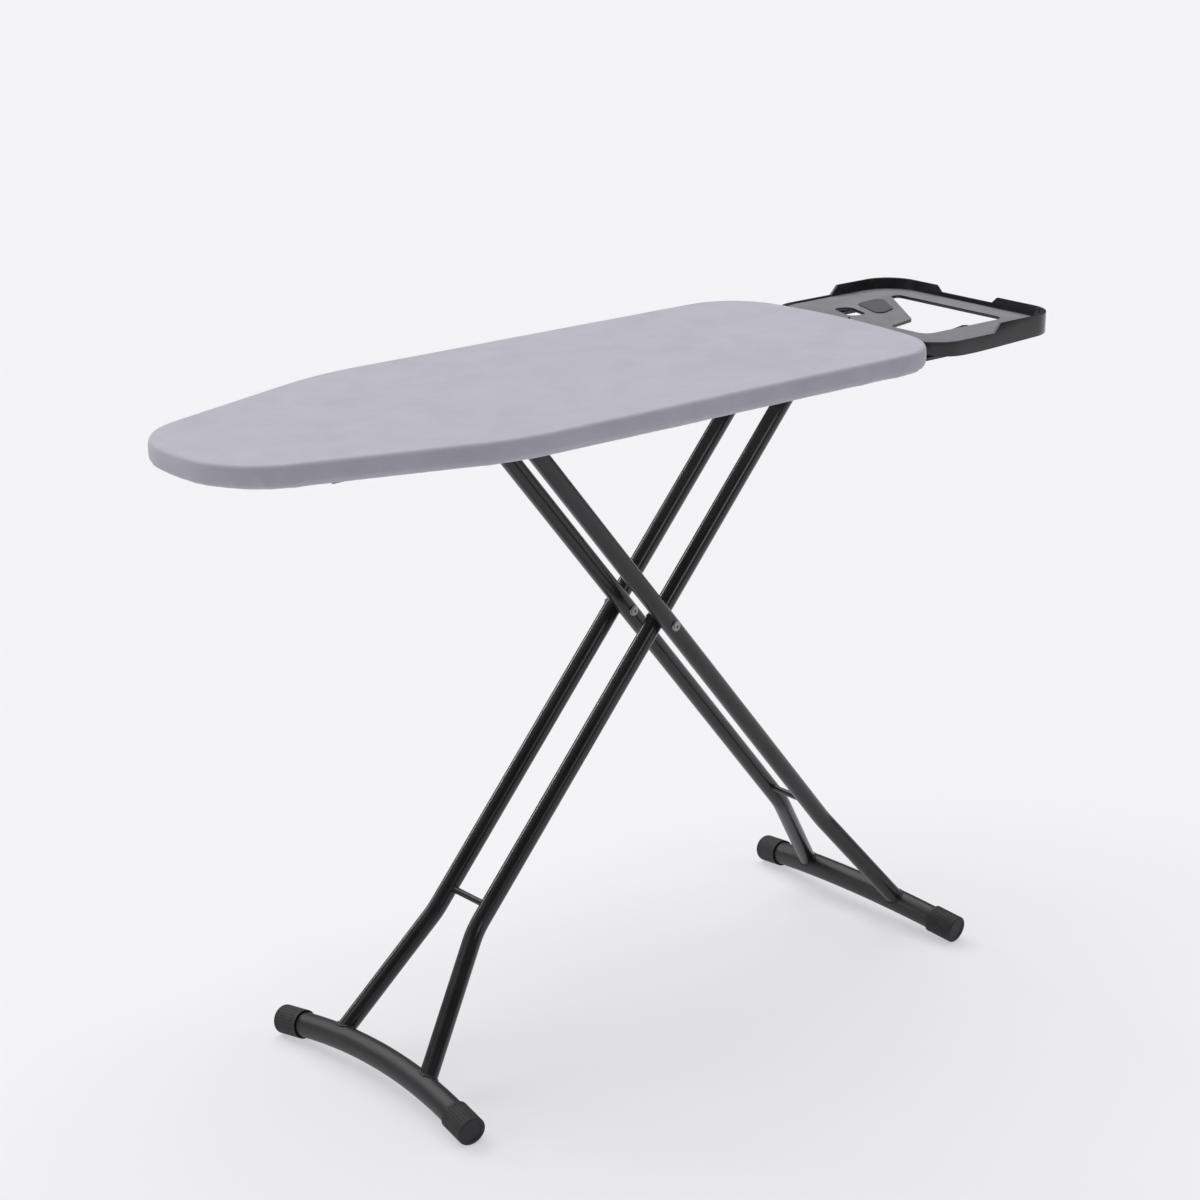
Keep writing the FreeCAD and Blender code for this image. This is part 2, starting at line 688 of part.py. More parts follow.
def make_iron_rest():
    """Moulded tray: thin floor, skirt, low rim and two raised corner guards."""
    body = new_body("iron_rest")
    bottom, floor = size("rest_bottom"), size("rest_floor")
    rim, guard = size("rest_rim"), size("rest_guard")
    outside = sketch_on(body, "XY_Plane", "rest_outside", bottom)
    add_loop(outside, rest_outline(0))
    pad(body, outside, guard - bottom, formula="$rest_guard - $rest_bottom")
    doc.recompute()
    tray = sketch_on(body, "XY_Plane", "rest_tray", guard)
    add_loop(tray, rest_outline(-REST_WALL))
    pocket(body, tray, guard - floor)
    under = sketch_on(body, "XY_Plane", "rest_under", bottom)
    add_loop(under, rest_outline(-REST_WALL + 0.5))
    floor_thick = 2.5
    pocket(body, under, floor - floor_thick - bottom, down=False)
    for side, low_to in REST_LOW_TO.items():
        name = "rest_low_" + SIDE_NAMES[side]
        low_side = sketch_on(body, "XZ_Plane", name, -side * size("rest_half_width"))
        add_loop(low_side, polygon([(300, rim), (low_to, rim), (low_to + 16, guard + 5),
                                    (300, guard + 5)]))
        pocket_both(body, low_side, size("rest_half_width") * 2 - 0.1)
    low_end = sketch_on(body, "YZ_Plane", "rest_low_end", REST_END_X)
    mid_rim = 792.0
    add_loop(low_end, polygon([(-35, mid_rim), (52, mid_rim), (66, guard + 5), (-49, guard + 5)]))
    pocket(body, low_end, 20)
    end_rise = sketch_on(body, "XZ_Plane", "rest_end_rise")
    edge = [(x, bottom + part * size("rest_end_rise")) for x, part in REST_LOWER_EDGE]
    add_loop(end_rise, polygon([(edge[-1][0], bottom - 1), (edge[0][0], bottom - 1)] + edge))
    pocket(body, end_rise)
    add_rest_lips(body, floor - floor_thick)
    add_rest_bosses(body, floor - floor_thick)
    holes = sketch_on(body, "XY_Plane", "rest_openings", guard)
    add_loop(holes, rounded_polygon(REST_OPENING, REST_OPENING_RADII))
    add_loop(holes, vent_hole(0))
    pocket(body, holes, guard - bottom)
    tab = sketch_on(body, "XY_Plane", "rest_tab", floor - REST_TAB_DROP - REST_TAB_THICK)
    add_loop(tab, polygon(REST_TAB))
    pad(body, tab, REST_TAB_THICK)


def vent_hole(grow):
    """Oval hole of the web, turned a little."""
    points = [(452, 40), (466, 84), (442, 92), (426, 46)]
    return rounded_polygon(points, [10, 10, 10, 10], grow)


def add_rest_lips(body, under_floor):
    """Turned-down lips that stiffen the edges of the openings."""
    lip_depth = REST_LIP_DEPTH
    lips = sketch_on(body, "XY_Plane", "rest_lips", under_floor - lip_depth)
    add_loop(lips, rounded_polygon(REST_OPENING, REST_OPENING_RADII, 2.0))
    pad(body, lips, lip_depth)
    vent = sketch_on(body, "XY_Plane", "rest_vent_lip", under_floor - lip_depth)
    add_loop(vent, vent_hole(2.0))
    pad(body, vent, lip_depth)
    doc.recompute()


def add_rest_bosses(body, under_floor):
    """Screw bosses that stand on the support bars."""
    low = size("rest_bottom") - 0.5
    bosses = sketch_on(body, "XY_Plane", "rest_bosses", low)
    for x in BAR_SCREW_XS:
        for side in SIDE_NAMES:
            add_circle(bosses, (x, bar_place(side)), str(BOSS_RADIUS), BOSS_RADIUS)
    pad(body, bosses, under_floor - low)
    doc.recompute()
    holes = sketch_on(body, "XY_Plane", "rest_boss_holes", low)
    for x in BAR_SCREW_XS:
        for side in SIDE_NAMES:
            add_circle(holes, (x, bar_place(side)), str(BAR_HOLE), BAR_HOLE)
    pocket(body, holes, 10, down=False)


def make_rest_pad():
    """Heat-proof pad on the rest's web."""
    body = new_body("iron_rest_pad")
    sketch = sketch_on(body, "XY_Plane", "rest_pad_outline", size("rest_floor"))
    points = [(458, 24), (497, 38), (532, 92), (482, 88)]
    add_loop(sketch, rounded_polygon(points, [9, 14, 8, 12]))
    block = pad(body, sketch, 2.0)
    fillet_at(body, block, size("rest_floor") + 2.0, 0.8, "rest_pad_edge")




def make_rest_bar(side):
    """Flat steel bar that carries the rest from the deck's tail brace."""
    name = "rest_bar_" + SIDE_NAMES[side]
    body = new_body(name)
    y = bar_place(side)
    sketch = sketch_on(body, "XY_Plane", name + "_outline", BAR_TOP)
    first, last = BRACES["brace_tail"], BAR_SCREW_XS[-1]
    add_loop(sketch, obround(first, last, y - BAR_HALF_WIDTH, y + BAR_HALF_WIDTH))
    for x in (first,) + BAR_SCREW_XS:
        add_circle(sketch, (x, y), str(BAR_HOLE), BAR_HOLE)
    pad(body, sketch, BAR_THICK, down=True)


def make_rest_fixings():
    """Spacers and screws of the rest's support bars."""
    spacers, screws = [], []
    first = BRACES["brace_tail"]
    for side in SIDE_NAMES:
        y = bar_place(side)
        tag = SIDE_NAMES[side]
        spacers.append(ring("rest_spacer_" + tag, 7, 2,
                            Vector(first, y, BAR_TOP), Vector(first, y, BRACE_BOTTOM)))
        for x in (first,) + BAR_SCREW_XS:
            name = f"rest_screw_{len(screws)}"
            low = BAR_TOP - BAR_THICK
            top = BRACE_BOTTOM + 4 if x == first else low + 12
            head = cylinder(name + "_head", 4.5, Vector(x, y, low - 2), Vector(x, y, low))
            shank = cylinder(name + "_shank", 2, Vector(x, y, low - 1), Vector(x, y, top))
            screws.append(combine("MultiFuse", name, [head, shank]))
    solids("rest_spacers", spacers)
    solids("rest_screws", screws)


# ---------------------------------------------------------------- legs
def make_leg_tube(leg, side):
    """Leg tube: straight from its top axle, then bent out to its weld on the foot."""
    name = f"{leg.name}_tube_{SIDE_NAMES[side]}"
    body = new_body(name)
    y = leg.tube_y[side]
    weld_y = side * size("weld_half")
    weld_x = leg.foot_x + leg.arch_drop(weld_y)
    top_x = leg.axle_x - size("tube_end")
    turn = math.atan2(weld_y - y, weld_x - leg.bend_x)
    radius = size("bend_radius")
    back = radius * math.tan(abs(turn) / 2)
    out = Vector(math.cos(turn), math.sin(turn), 0)
    corner = Vector(leg.bend_x, y, 0)
    first = corner - Vector(back, 0, 0)
    last = corner + out * back
    towards = (out - Vector(1, 0, 0)).normalize()
    middle = corner + towards * (radius / math.cos(turn / 2) - radius)
    path = sketch_on(body, "XY_Plane", name + "_path")
    add_loop(path, [Part.LineSegment(Vector(top_x, y, 0), first),
                    Part.Arc(first, middle, last),
                    Part.LineSegment(last, Vector(weld_x, weld_y, 0))])
    profile = sketch_on(body, "YZ_Plane", name + "_profile", top_x)
    add_circle(profile, (y, 0), "$leg_radius", size("leg_radius"))
    add_circle(profile, (y, 0), "$leg_radius - $tube_wall",
               size("leg_radius") - size("tube_wall"))
    pipe = body.newObject("PartDesign::AdditivePipe", name + "_pipe")
    pipe.Profile = profile
    pipe.Spine = (path, [])
    doc.recompute()
    cope = body.newObject("PartDesign::SubtractiveTorus", name + "_cope")
    bind(cope, "Radius1", "$foot_arc")
    bind(cope, "Radius2", "$foot_radius + 0.02")
    cope.AttachmentSupport = [(body.Origin.OriginFeatures[3], "")]
    cope.MapMode = "FlatFace"
    cope.AttachmentOffset = Placement(Vector(leg.foot_x + size("foot_arc"), 0, 0), Rotation())
    doc.recompute()
    holes = sketch_on(body, "XZ_Plane", name + "_holes")
    add_circle(holes, (leg.axle_x, 0), "$axle_radius + 0.02", size("axle_radius") + 0.02)
    add_circle(holes, (0, 0), "$rivet_radius + $running_gap",
               size("rivet_radius") + size("running_gap"))
    pocket(body, holes)
    body.Placement = leg.place()


PLUG_STEM = 2.5


def make_tube_plugs(leg):
    """Plastic plugs in the top ends of a leg's tubes."""
    pieces = []
    top_x = leg.axle_x - size("tube_end")
    bore = size("leg_radius") - size("tube_wall")
    for side in SIDE_NAMES:
        y = leg.tube_y[side]
        name = f"{leg.name}_plug_{SIDE_NAMES[side]}"
        flange = cylinder(name + "_flange", "$leg_radius - 0.3",
                          Vector(top_x - 1.8, y, 0), Vector(top_x, y, 0))
        stem = cylinder(name + "_stem", bore, Vector(top_x, y, 0),
                        Vector(top_x + PLUG_STEM, y, 0))
        pieces.append(combine("MultiFuse", name, [flange, stem]))
    part = solids(leg.name + "_tube_plugs", pieces)
    part.Placement = leg.place()


def make_crossbar(leg, height):
    """Rod welded between a leg's two tubes, coped to their round sides."""
    name = leg.name + "_crossbar"
    x = leg.along(height)
    right, left = leg.tube_y[RIGHT], leg.tube_y[LEFT]
    rod = cylinder(name + "_rod", "$crossbar_radius", Vector(x, right, 0), Vector(x, left, 0))
    tools = []
    for side, y in ((RIGHT, right), (LEFT, left)):
        tool = cylinder(name + "_cope_" + SIDE_NAMES[side], "$leg_radius + 0.02",
                        Vector(x - 30, y, 0), Vector(x + 30, y, 0))
        tools.append(tool)
    both = combine("MultiFuse", name + "_copes", tools)
    bar = cut(name, rod, both)
    bar.Label = name
    bar.Placement = leg.place()


def make_foot_tube(leg):
    """Arched foot tube with straight ends that sit in the caps."""
    name = leg.name + "_foot_tube"
    body = new_body(name)
    end_y = leg.foot_end_y - 5
    reach = size("foot_arc_half")
    end_x = leg.foot_x + leg.arch_drop(end_y)
    bend_x = leg.foot_x + leg.arch_drop(reach)
    points = [Vector(end_x, -end_y, 0), Vector(bend_x, -reach, 0), Vector(leg.foot_x, 0, 0),
              Vector(bend_x, reach, 0), Vector(end_x, end_y, 0)]
    path = sketch_on(body, "XY_Plane", name + "_path")
    add_loop(path, [Part.LineSegment(points[0], points[1]),
                    Part.Arc(points[1], points[2], points[3]),
                    Part.LineSegment(points[3], points[4])])
    profile = sketch_on(body, "XZ_Plane", name + "_profile", end_y, (end_x, 0),
                        math.degrees(leg.end_slope))
    add_circle(profile, (0, 0), "$foot_radius", size("foot_radius"))
    add_circle(profile, (0, 0), "$foot_radius - $tube_wall",
               size("foot_radius") - size("tube_wall"))
    pipe = body.newObject("PartDesign::AdditivePipe", name + "_pipe")
    pipe.Profile = profile
    pipe.Spine = (path, [])
    body.Placement = leg.place()


def make_foot_cap(leg, side):
    """Ribbed rubber cap; its mouth stands a little off the tube."""
    name = f"{leg.name}_foot_cap_{SIDE_NAMES[side]}"
    body = new_body(name)
    outer, length = size("cap_radius"), size("cap_length")
    edge = size("cap_round")
    bore, mouth, dish = size("foot_radius") + 0.02, outer - 1.0, outer - 5.0
    tube_stop = length - 5.0
    side_on = edge * (1 - math.sqrt(0.5))
    sketch = sketch_on(body, "XZ_Plane", name + "_section")
    add_loop(sketch, [
        Part.LineSegment(Vector(mouth, 0, 0), Vector(outer, 0, 0)),
        Part.LineSegment(Vector(outer, 0, 0), Vector(outer, length - edge, 0)),
        Part.Arc(Vector(outer, length - edge, 0), Vector(outer - side_on, length - side_on, 0),
                 Vector(outer - edge, length, 0)),
        Part.LineSegment(Vector(outer - edge, length, 0), Vector(dish, length, 0)),
        Part.LineSegment(Vector(dish, length, 0), Vector(dish - 1, length - 1, 0)),
        Part.LineSegment(Vector(dish - 1, length - 1, 0), Vector(0, length - 1, 0)),
        Part.LineSegment(Vector(0, length - 1, 0), Vector(0, tube_stop, 0)),
        Part.LineSegment(Vector(0, tube_stop, 0), Vector(bore, tube_stop, 0)),
        Part.LineSegment(Vector(bore, tube_stop, 0), Vector(bore, 3, 0)),
        Part.LineSegment(Vector(bore, 3, 0), Vector(mouth, 2, 0)),
        Part.LineSegment(Vector(mouth, 2, 0), Vector(mouth, 0, 0)),
    ])
    turned = body.newObject("PartDesign::Revolution", name + "_turned")
    turned.Profile = sketch
    turned.ReferenceAxis = (sketch, ["V_Axis"])
    turned.Angle = 360
    doc.recompute()
    groove = sketch_on(body, "XY_Plane", name + "_groove", 4.0)
    add_circle(groove, (outer + 0.35, 0), "0.9", 0.9)
    first = pocket(body, groove, length - 8, down=False)
    pattern = body.newObject("PartDesign::PolarPattern", name + "_grooves")
    pattern.Originals = [first]
    pattern.Axis = (groove, ["N_Axis"])
    pattern.Angle = 360
    pattern.Occurrences = 28
    body.Tip = pattern
    outwards = Vector(math.sin(leg.end_slope), side * math.cos(leg.end_slope), 0)
    end_x = leg.foot_x + leg.arch_drop(leg.foot_end_y)
    end = Vector(end_x, side * leg.foot_end_y, 0)
    seat = Placement(end - outwards * length, Rotation(Vector(0, 0, 1), outwards))
    body.Placement = leg.place(seat)


def across(axle, y):
    """Point at one y on a top axle or on the crossing."""
    return Vector(axle.x, y, axle.z)


def make_front_axle():
    """Pivot axle of the front leg, with its sleeves and end nuts."""
    inside = size("rail_inside")
    outside = inside + size("sheet_gauge")
    axle = cylinder("front_axle", "$axle_radius",
                    across(FRONT_AXLE, -outside - 5), across(FRONT_AXLE, outside + 5))
    axle.Label = "front_axle"
    radius = size("axle_radius")
    tube = size("leg_radius")
    gap = 0.4
    spans = [(-inside + gap, FRONT.tube_y[RIGHT] - tube), (FRONT.tube_y[LEFT] + tube, inside - gap)]
    sleeves = [ring(f"front_sleeve_{i}", 7, radius,
                    across(FRONT_AXLE, a), across(FRONT_AXLE, b)) for i, (a, b) in enumerate(spans)]
    solids("front_axle_sleeves", sleeves)
    nuts = [ring(f"front_nut_{SIDE_NAMES[side]}", 8, radius,
                 across(FRONT_AXLE, side * (outside + gap)),
                 across(FRONT_AXLE, side * (outside + gap + 4))) for side in SIDE_NAMES]
    solids("front_axle_nuts", nuts)


def make_rear_axle():
    """Sliding axle of the rear leg, with its bushes and end nuts."""
    radius = size("axle_radius")
    ends = {RIGHT: size("rail_inside") + 10, LEFT: size("lock_y") + LOCK_THICK + 6}
    axle = cylinder("rear_axle", "$axle_radius",
                    across(REAR_AXLE, -ends[RIGHT]), across(REAR_AXLE, ends[LEFT]))
    axle.Label = "rear_axle"
    inside = size("rail_inside")
    bushes, nuts = [], []
    for side in SIDE_NAMES:
        tag = SIDE_NAMES[side]
        barrel = cylinder("bush_barrel_" + tag, BUSH_RADIUS,
                          across(REAR_AXLE, side * (inside - 1)),
                          across(REAR_AXLE, side * (inside + 3)))
        flange = cylinder("bush_flange_" + tag, 9,
                          across(REAR_AXLE, side * (inside - 1.9)),
                          across(REAR_AXLE, side * (inside - 0.5)))
        both = combine("MultiFuse", "bush_solid_" + tag, [barrel, flange])
        bore = cylinder("bush_bore_" + tag, radius,
                        across(REAR_AXLE, side * (inside - 3)),
                        across(REAR_AXLE, side * (inside + 5)))
        bushes.append(cut("bush_" + tag, both, bore))
        nuts.append(ring("rear_nut_" + tag, 8, radius,
                         across(REAR_AXLE, side * (ends[side] - 4.5)),
                         across(REAR_AXLE, side * (ends[side] - 0.5))))
    solids("rear_axle_bushes", bushes)
    solids("rear_axle_nuts", nuts)


def make_crossing_rivet(side):
    """Rivet through one rear and one front tube, with a dimpled head."""
    name = "crossing_rivet_" + SIDE_NAMES[side]
    tube = size("leg_radius")
    head_y = REAR.tube_y[side] - tube
    tail_y = FRONT.tube_y[side] + tube
    head = cylinder(name + "_head", 6, across(CROSSING, head_y - 1.6), across(CROSSING, head_y))
    collar = cylinder(name + "_collar", 4.4, across(CROSSING, head_y - 2.4),
                      across(CROSSING, head_y - 1.6))
    shank = cylinder(name + "_shank", "$rivet_radius", across(CROSSING, head_y - 1),
                     across(CROSSING, tail_y + 1))
    upset = cylinder(name + "_upset", 5, across(CROSSING, tail_y + 0.4),
                     across(CROSSING, tail_y + 1.9))
    solid = combine("MultiFuse", name + "_solid", [head, collar, shank, upset])
    dimple = cylinder(name + "_dimple", 2, across(CROSSING, head_y - 3),
                      across(CROSSING, head_y - 1.2))
    rivet = cut(name, solid, dimple)
    rivet.Label = name


def make_crossing_washers():
    """Plastic washers between the crossing tubes."""
    tube = size("leg_radius")
    pieces = []
    for side in SIDE_NAMES:
        low = REAR.tube_y[side] + tube
        high = FRONT.tube_y[side] - tube - 0.4
        pieces.append(ring("washer_" + SIDE_NAMES[side], 8, size("rivet_radius"),
                           across(CROSSING, low), across(CROSSING, high)))
    solids("crossing_washers", pieces)


# ---------------------------------------------------------------- height lock
LOCK_BOTTOM = 747.0
LOCK_TOP = 758.5
LUG_TOP = 771.0
LOCK_NOTCHES = 5
LOCK_PITCH = 30.0
LOCK_THICK = 3.0
ROD_X = -326.0
ROD_Z = 751.5
ROD_RADIUS = 3.0
GRIP_END = 152.0
GRIP_LENGTH = 40.0


def make_lock_plate():
    """Notched plate that swings up under the sliding axle to hold a height."""
    body = new_body("lock_plate")
    face = size("lock_y") + LOCK_THICK / 2
    sketch = sketch_on(body, "XZ_Plane", "lock_outline", -face)
    points = [(-336, LOCK_BOTTOM), (-92, LOCK_BOTTOM), (-92, LUG_TOP), (-111, LUG_TOP),
              (-122, LOCK_TOP), (-336, LOCK_TOP)]
    add_loop(sketch, rounded_polygon(points, [4, 7, 7, 6, 6, 4]))
    add_circle(sketch, (size("lock_pin_x"), size("lock_pin_z")),
               "$rivet_radius + $running_gap", size("rivet_radius") + size("running_gap"))
    pad(body, sketch, LOCK_THICK, both_ways=True)
    doc.recompute()
    notches = sketch_on(body, "XZ_Plane", "lock_notches")
    for index in range(LOCK_NOTCHES):
        add_circle(notches, (REAR_AXLE.x - index * LOCK_PITCH, LOCK_TOP),
                   "$axle_radius + 0.5", size("axle_radius") + 0.5)
    pocket(body, notches)


def make_release():
    """Rod and grip that pull the lock plate down, under the deck's left edge."""
    face = size("lock_y") + LOCK_THICK
    rod_end = GRIP_END - 4
    rod = cylinder("release_rod", ROD_RADIUS, Vector(ROD_X, face, ROD_Z),
                   Vector(ROD_X, rod_end, ROD_Z))
    rod.Label = "release_rod"
    bar = doc.addObject("Part::Feature", "release_grip")
    bar.Label = "release_grip"
    start = Vector(ROD_X, GRIP_END - GRIP_LENGTH, ROD_Z)
    grip = Part.makeCylinder(7, GRIP_LENGTH, start, Vector(0, 1, 0))
    rims = [e for e in grip.Edges if e.Closed and e.Curve.TypeId == "Part::GeomCircle"]
    grip = grip.makeFillet(2.5, rims)
    bore = Part.makeCylinder(ROD_RADIUS, GRIP_LENGTH - 4, start, Vector(0, 1, 0))
    bar.Shape = grip.cut(bore)


def make_lock_pin():
    """Stud in the left guide rail that the lock plate turns on."""
    x, z = size("lock_pin_x"), size("lock_pin_z")
    inner = size("rail_inside") + 0.05
    face = size("lock_y") + LOCK_THICK
    stud = cylinder("lock_stud", "$rivet_radius", Vector(x, inner, z), Vector(x, face + 2, z))
    head = cylinder("lock_stud_head", 5, Vector(x, face + 0.4, z), Vector(x, face + 2.2, z))
    pin = combine("MultiFuse", "lock_pin", [stud, head])
    pin.Label = "lock_pin"


def make_lock_spring():
    """Torsion spring round the stud, between the rail and the lock plate."""
    wire = 0.4
    radius = 5.0
    pitch = 0.95
    turns = 2.4
    helix = Part.makeHelix(pitch, pitch * turns, radius)
    circle = Part.makeCircle(wire, Vector(radius, 0, 0), Vector(0, 1, 0))
    coil = Part.Wire(helix).makePipeShell([Part.Wire(circle)], True, True)
    spring = doc.addObject("Part::Feature", "lock_spring")
    spring.Label = "lock_spring"
    spring.Shape = coil
    outer = size("rail_inside") + size("sheet_gauge")
    place = Vector(size("lock_pin_x"), outer + 0.6, size("lock_pin_z"))
    spring.Placement = Placement(place, Rotation(Vector(0, 0, 1), Vector(0, 1, 0)))


# ---------------------------------------------------------------- assembly
def make_deck():
    make_cover()
    make_cover_cord()
    make_pad()
    make_mesh_top()
    make_deck_frame()
    for name, x in BRACES.items():
        brace_holes(make_brace(name, x), x)
    for side in SIDE_NAMES:
        make_guide_rail(side)
        make_pivot_bracket(side)
        make_rest_bar(side)
    make_rail_rivets()
    make_iron_rest()
    make_rest_pad()
    make_rest_fixings()
    make_lock_pin()
    make_lock_spring()


def make_leg(leg, crossbar_height):
    for side in SIDE_NAMES:
        make_leg_tube(leg, side)
        make_foot_cap(leg, side)
    make_foot_tube(leg)
    make_crossbar(leg, crossbar_height)
    make_tube_plugs(leg)


NODES = [
    "cover", "cover_cord", "foam_pad", "steel_top", "deck_frame",
    "brace_nose", "brace_middle", "brace_pivot", "brace_tail",
    "guide_rail_right", "guide_rail_left", "pivot_bracket_right", "pivot_bracket_left",
    "rail_rivets", "iron_rest", "iron_rest_pad", "rest_bar_right", "rest_bar_left",
    "rest_spacers", "rest_screws", "lock_pin", "lock_spring",
    "front_tube_right", "front_tube_left", "front_crossbar", "front_foot_tube",
    "front_foot_cap_right", "front_foot_cap_left", "front_tube_plugs",
    "front_axle", "front_axle_sleeves", "front_axle_nuts",
    "rear_tube_right", "rear_tube_left", "rear_crossbar", "rear_foot_tube",
    "rear_foot_cap_right", "rear_foot_cap_left", "rear_tube_plugs",
    "rear_axle", "rear_axle_bushes", "rear_axle_nuts",
    "crossing_rivet_right", "crossing_rivet_left", "crossing_washers",
    "lock_plate", "release_rod", "release_grip",
]


def check_document():
    """Stop if any feature failed or any sub-part has no sound shape."""
    for obj in doc.Objects:
        if "Invalid" in obj.State or "Error" in obj.State:
            raise RuntimeError(f"{obj.Name}: {obj.State}")
    for name in NODES:
        shape = node_object(name).Shape
        if shape.isNull() or not shape.isValid() or not shape.Solids:
            raise RuntimeError(name + ": no sound shape")


def node_object(name):
    """The one sub-part that carries this label."""
    return next(obj for obj in doc.Objects if obj.Label == name)


def main():
    make_deck()
    make_leg(FRONT, size("front_crossbar_height"))
    make_leg(REAR, size("rear_crossbar_height"))
    make_front_axle()
    make_rear_axle()
    for side in SIDE_NAMES:
        make_crossing_rivet(side)
    make_crossing_washers()
    make_lock_plate()
    make_release()
    doc.recompute()
    check_document()
    os.makedirs("parts", exist_ok=True)
    low = Vector(1e9, 1e9, 1e9)
    for name in NODES:
        obj = node_object(name)
        obj.Shape.exportStep(f"parts/{name}.step")
        box = obj.Shape.BoundBox
        low = Vector(min(low.x, box.XMin), min(low.y, box.YMin), min(low.z, box.ZMin))
        print(f"{name:24s} solids {len(obj.Shape.Solids)} volume {obj.Shape.Volume:11.1f}")
    print("lowest corner", low, "front axle", FRONT_AXLE, "rear axle", REAR_AXLE, "slide", SLIDE)


main()
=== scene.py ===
"""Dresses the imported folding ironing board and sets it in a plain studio.

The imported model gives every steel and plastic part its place. This script makes the
soft goods (cloth cover, its hem, the foam pad), softens the iron rest's edges, adds
welds and stitches, and gives every part a finish worked out from its real surface.
Lengths are metres unless a name says otherwise.
"""

import json
import logging
import math
from dataclasses import dataclass, field
from enum import Enum

import bpy
from mathutils import Matrix, Vector, geometry, noise

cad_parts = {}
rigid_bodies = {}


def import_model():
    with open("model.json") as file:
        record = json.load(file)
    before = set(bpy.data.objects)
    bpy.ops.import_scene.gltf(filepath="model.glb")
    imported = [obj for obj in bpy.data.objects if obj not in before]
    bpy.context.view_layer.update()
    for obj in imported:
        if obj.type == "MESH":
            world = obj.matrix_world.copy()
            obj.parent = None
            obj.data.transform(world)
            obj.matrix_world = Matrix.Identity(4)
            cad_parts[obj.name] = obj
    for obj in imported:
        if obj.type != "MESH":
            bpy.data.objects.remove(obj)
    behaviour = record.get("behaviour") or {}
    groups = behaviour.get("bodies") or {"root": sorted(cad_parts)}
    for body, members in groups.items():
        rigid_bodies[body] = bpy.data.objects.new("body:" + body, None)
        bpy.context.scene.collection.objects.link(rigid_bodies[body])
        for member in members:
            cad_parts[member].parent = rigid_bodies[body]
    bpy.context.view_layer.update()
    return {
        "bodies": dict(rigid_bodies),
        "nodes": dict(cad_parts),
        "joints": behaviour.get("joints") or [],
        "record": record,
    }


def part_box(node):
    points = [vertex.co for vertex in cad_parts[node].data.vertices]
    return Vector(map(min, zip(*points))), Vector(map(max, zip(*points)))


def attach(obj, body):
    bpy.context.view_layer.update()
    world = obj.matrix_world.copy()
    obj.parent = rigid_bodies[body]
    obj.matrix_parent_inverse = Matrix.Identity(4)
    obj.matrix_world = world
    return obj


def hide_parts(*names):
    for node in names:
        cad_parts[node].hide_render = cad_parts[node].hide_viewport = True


LOG = logging.getLogger("ironing_board")
MM = 0.001
Ring = list[Vector]
Faces = list[tuple[int, ...]]
Piece = bpy.types.Object
Socket = bpy.types.NodeSocket


# ---------------------------------------------------------------- small helpers
def linear(hex_code: str) -> tuple[float, float, float, float]:
    """Turn an sRGB hex colour into the linear colour that sockets take.

    Args:
        hex_code: six hex digits, with or without a leading hash.

    Returns:
        Linear red, green, blue and an alpha of one.
    """
    digits = hex_code.lstrip("#")
    parts = [int(digits[i:i + 2], 16) / 255 for i in (0, 2, 4)]
    curve = [p / 12.92 if p <= 0.04045 else ((p + 0.055) / 1.055) ** 2.4 for p in parts]
    return (curve[0], curve[1], curve[2], 1.0)


def add_node(tree: bpy.types.NodeTree, kind: str, settings: dict | None = None,
             links: dict | None = None) -> bpy.types.Node:
    """Add one shader node with its settings and links.

    Args:
        tree: the material's node tree.
        kind: node type without its "ShaderNode" start.
        settings: socket names, socket numbers or properties, with their values.
        links: socket names or numbers, with the output sockets that feed them.

    Returns:
        The new node.
    """
    node = tree.nodes.new("ShaderNode" + kind)
    for key, value in (settings or {}).items():
        if isinstance(key, int) or key in node.inputs:
            node.inputs[key].default_value = value
        else:
            setattr(node, key, value)
    for key, socket in (links or {}).items():
        tree.links.new(socket, node.inputs[key])
    return node


def per_metre(size_mm: float) -> float:
    """Scale of a noise or cell pattern whose features are this many millimetres."""
    return 1 / (size_mm * MM)


def wave_scale(spacing_mm: float) -> float:
    """Scale of a wave texture whose bands lie this many millimetres apart."""
    return 2 * math.pi / (20 * spacing_mm * MM)


def deselect() -> None:
    """Leave nothing selected, so that an operator acts on one piece only."""
    if bpy.context.object and bpy.context.object.mode != "OBJECT":
        bpy.ops.object.mode_set(mode="OBJECT")
    bpy.ops.object.select_all(action="DESELECT")


def pick(piece: Piece) -> None:
    """Select one piece and make it the active one."""
    deselect()
    piece.select_set(True)
    bpy.context.view_layer.objects.active = piece


def settle_transform(piece: Piece) -> None:
    """Move a piece's place, turn and scale into its mesh."""
    pick(piece)
    bpy.ops.object.transform_apply(location=True, rotation=True, scale=True)


def apply_modifier(piece: Piece, kind: str, **settings: object) -> None:
    """Add one modifier with its settings and apply it.

    Args:
        piece: the mesh object.
        kind: the modifier's type.
        settings: its properties and their values.
    """
    pick(piece)
    modifier = piece.modifiers.new(kind.lower(), kind)
    for key, value in settings.items():
        setattr(modifier, key, value)
    bpy.ops.object.modifier_apply(modifier=modifier.name)


def into_scene(name: str, data: bpy.types.ID) -> Piece:
    """Make an object from its data and put it in the scene."""
    thing = bpy.data.objects.new(name, data)
    bpy.context.scene.collection.objects.link(thing)
    return thing


def new_piece(name: str, points: list[Vector], faces: Faces) -> Piece:
    """Make a mesh object from points and faces.

    Args:
        name: the piece's name.
        points: places in the row frame.
        faces: corner numbers of each face.

    Returns:
        The new object.
    """
    mesh = bpy.data.meshes.new(name)
    mesh.from_pydata([tuple(p) for p in points], [], faces)
    mesh.validate()
    return into_scene(name, mesh)


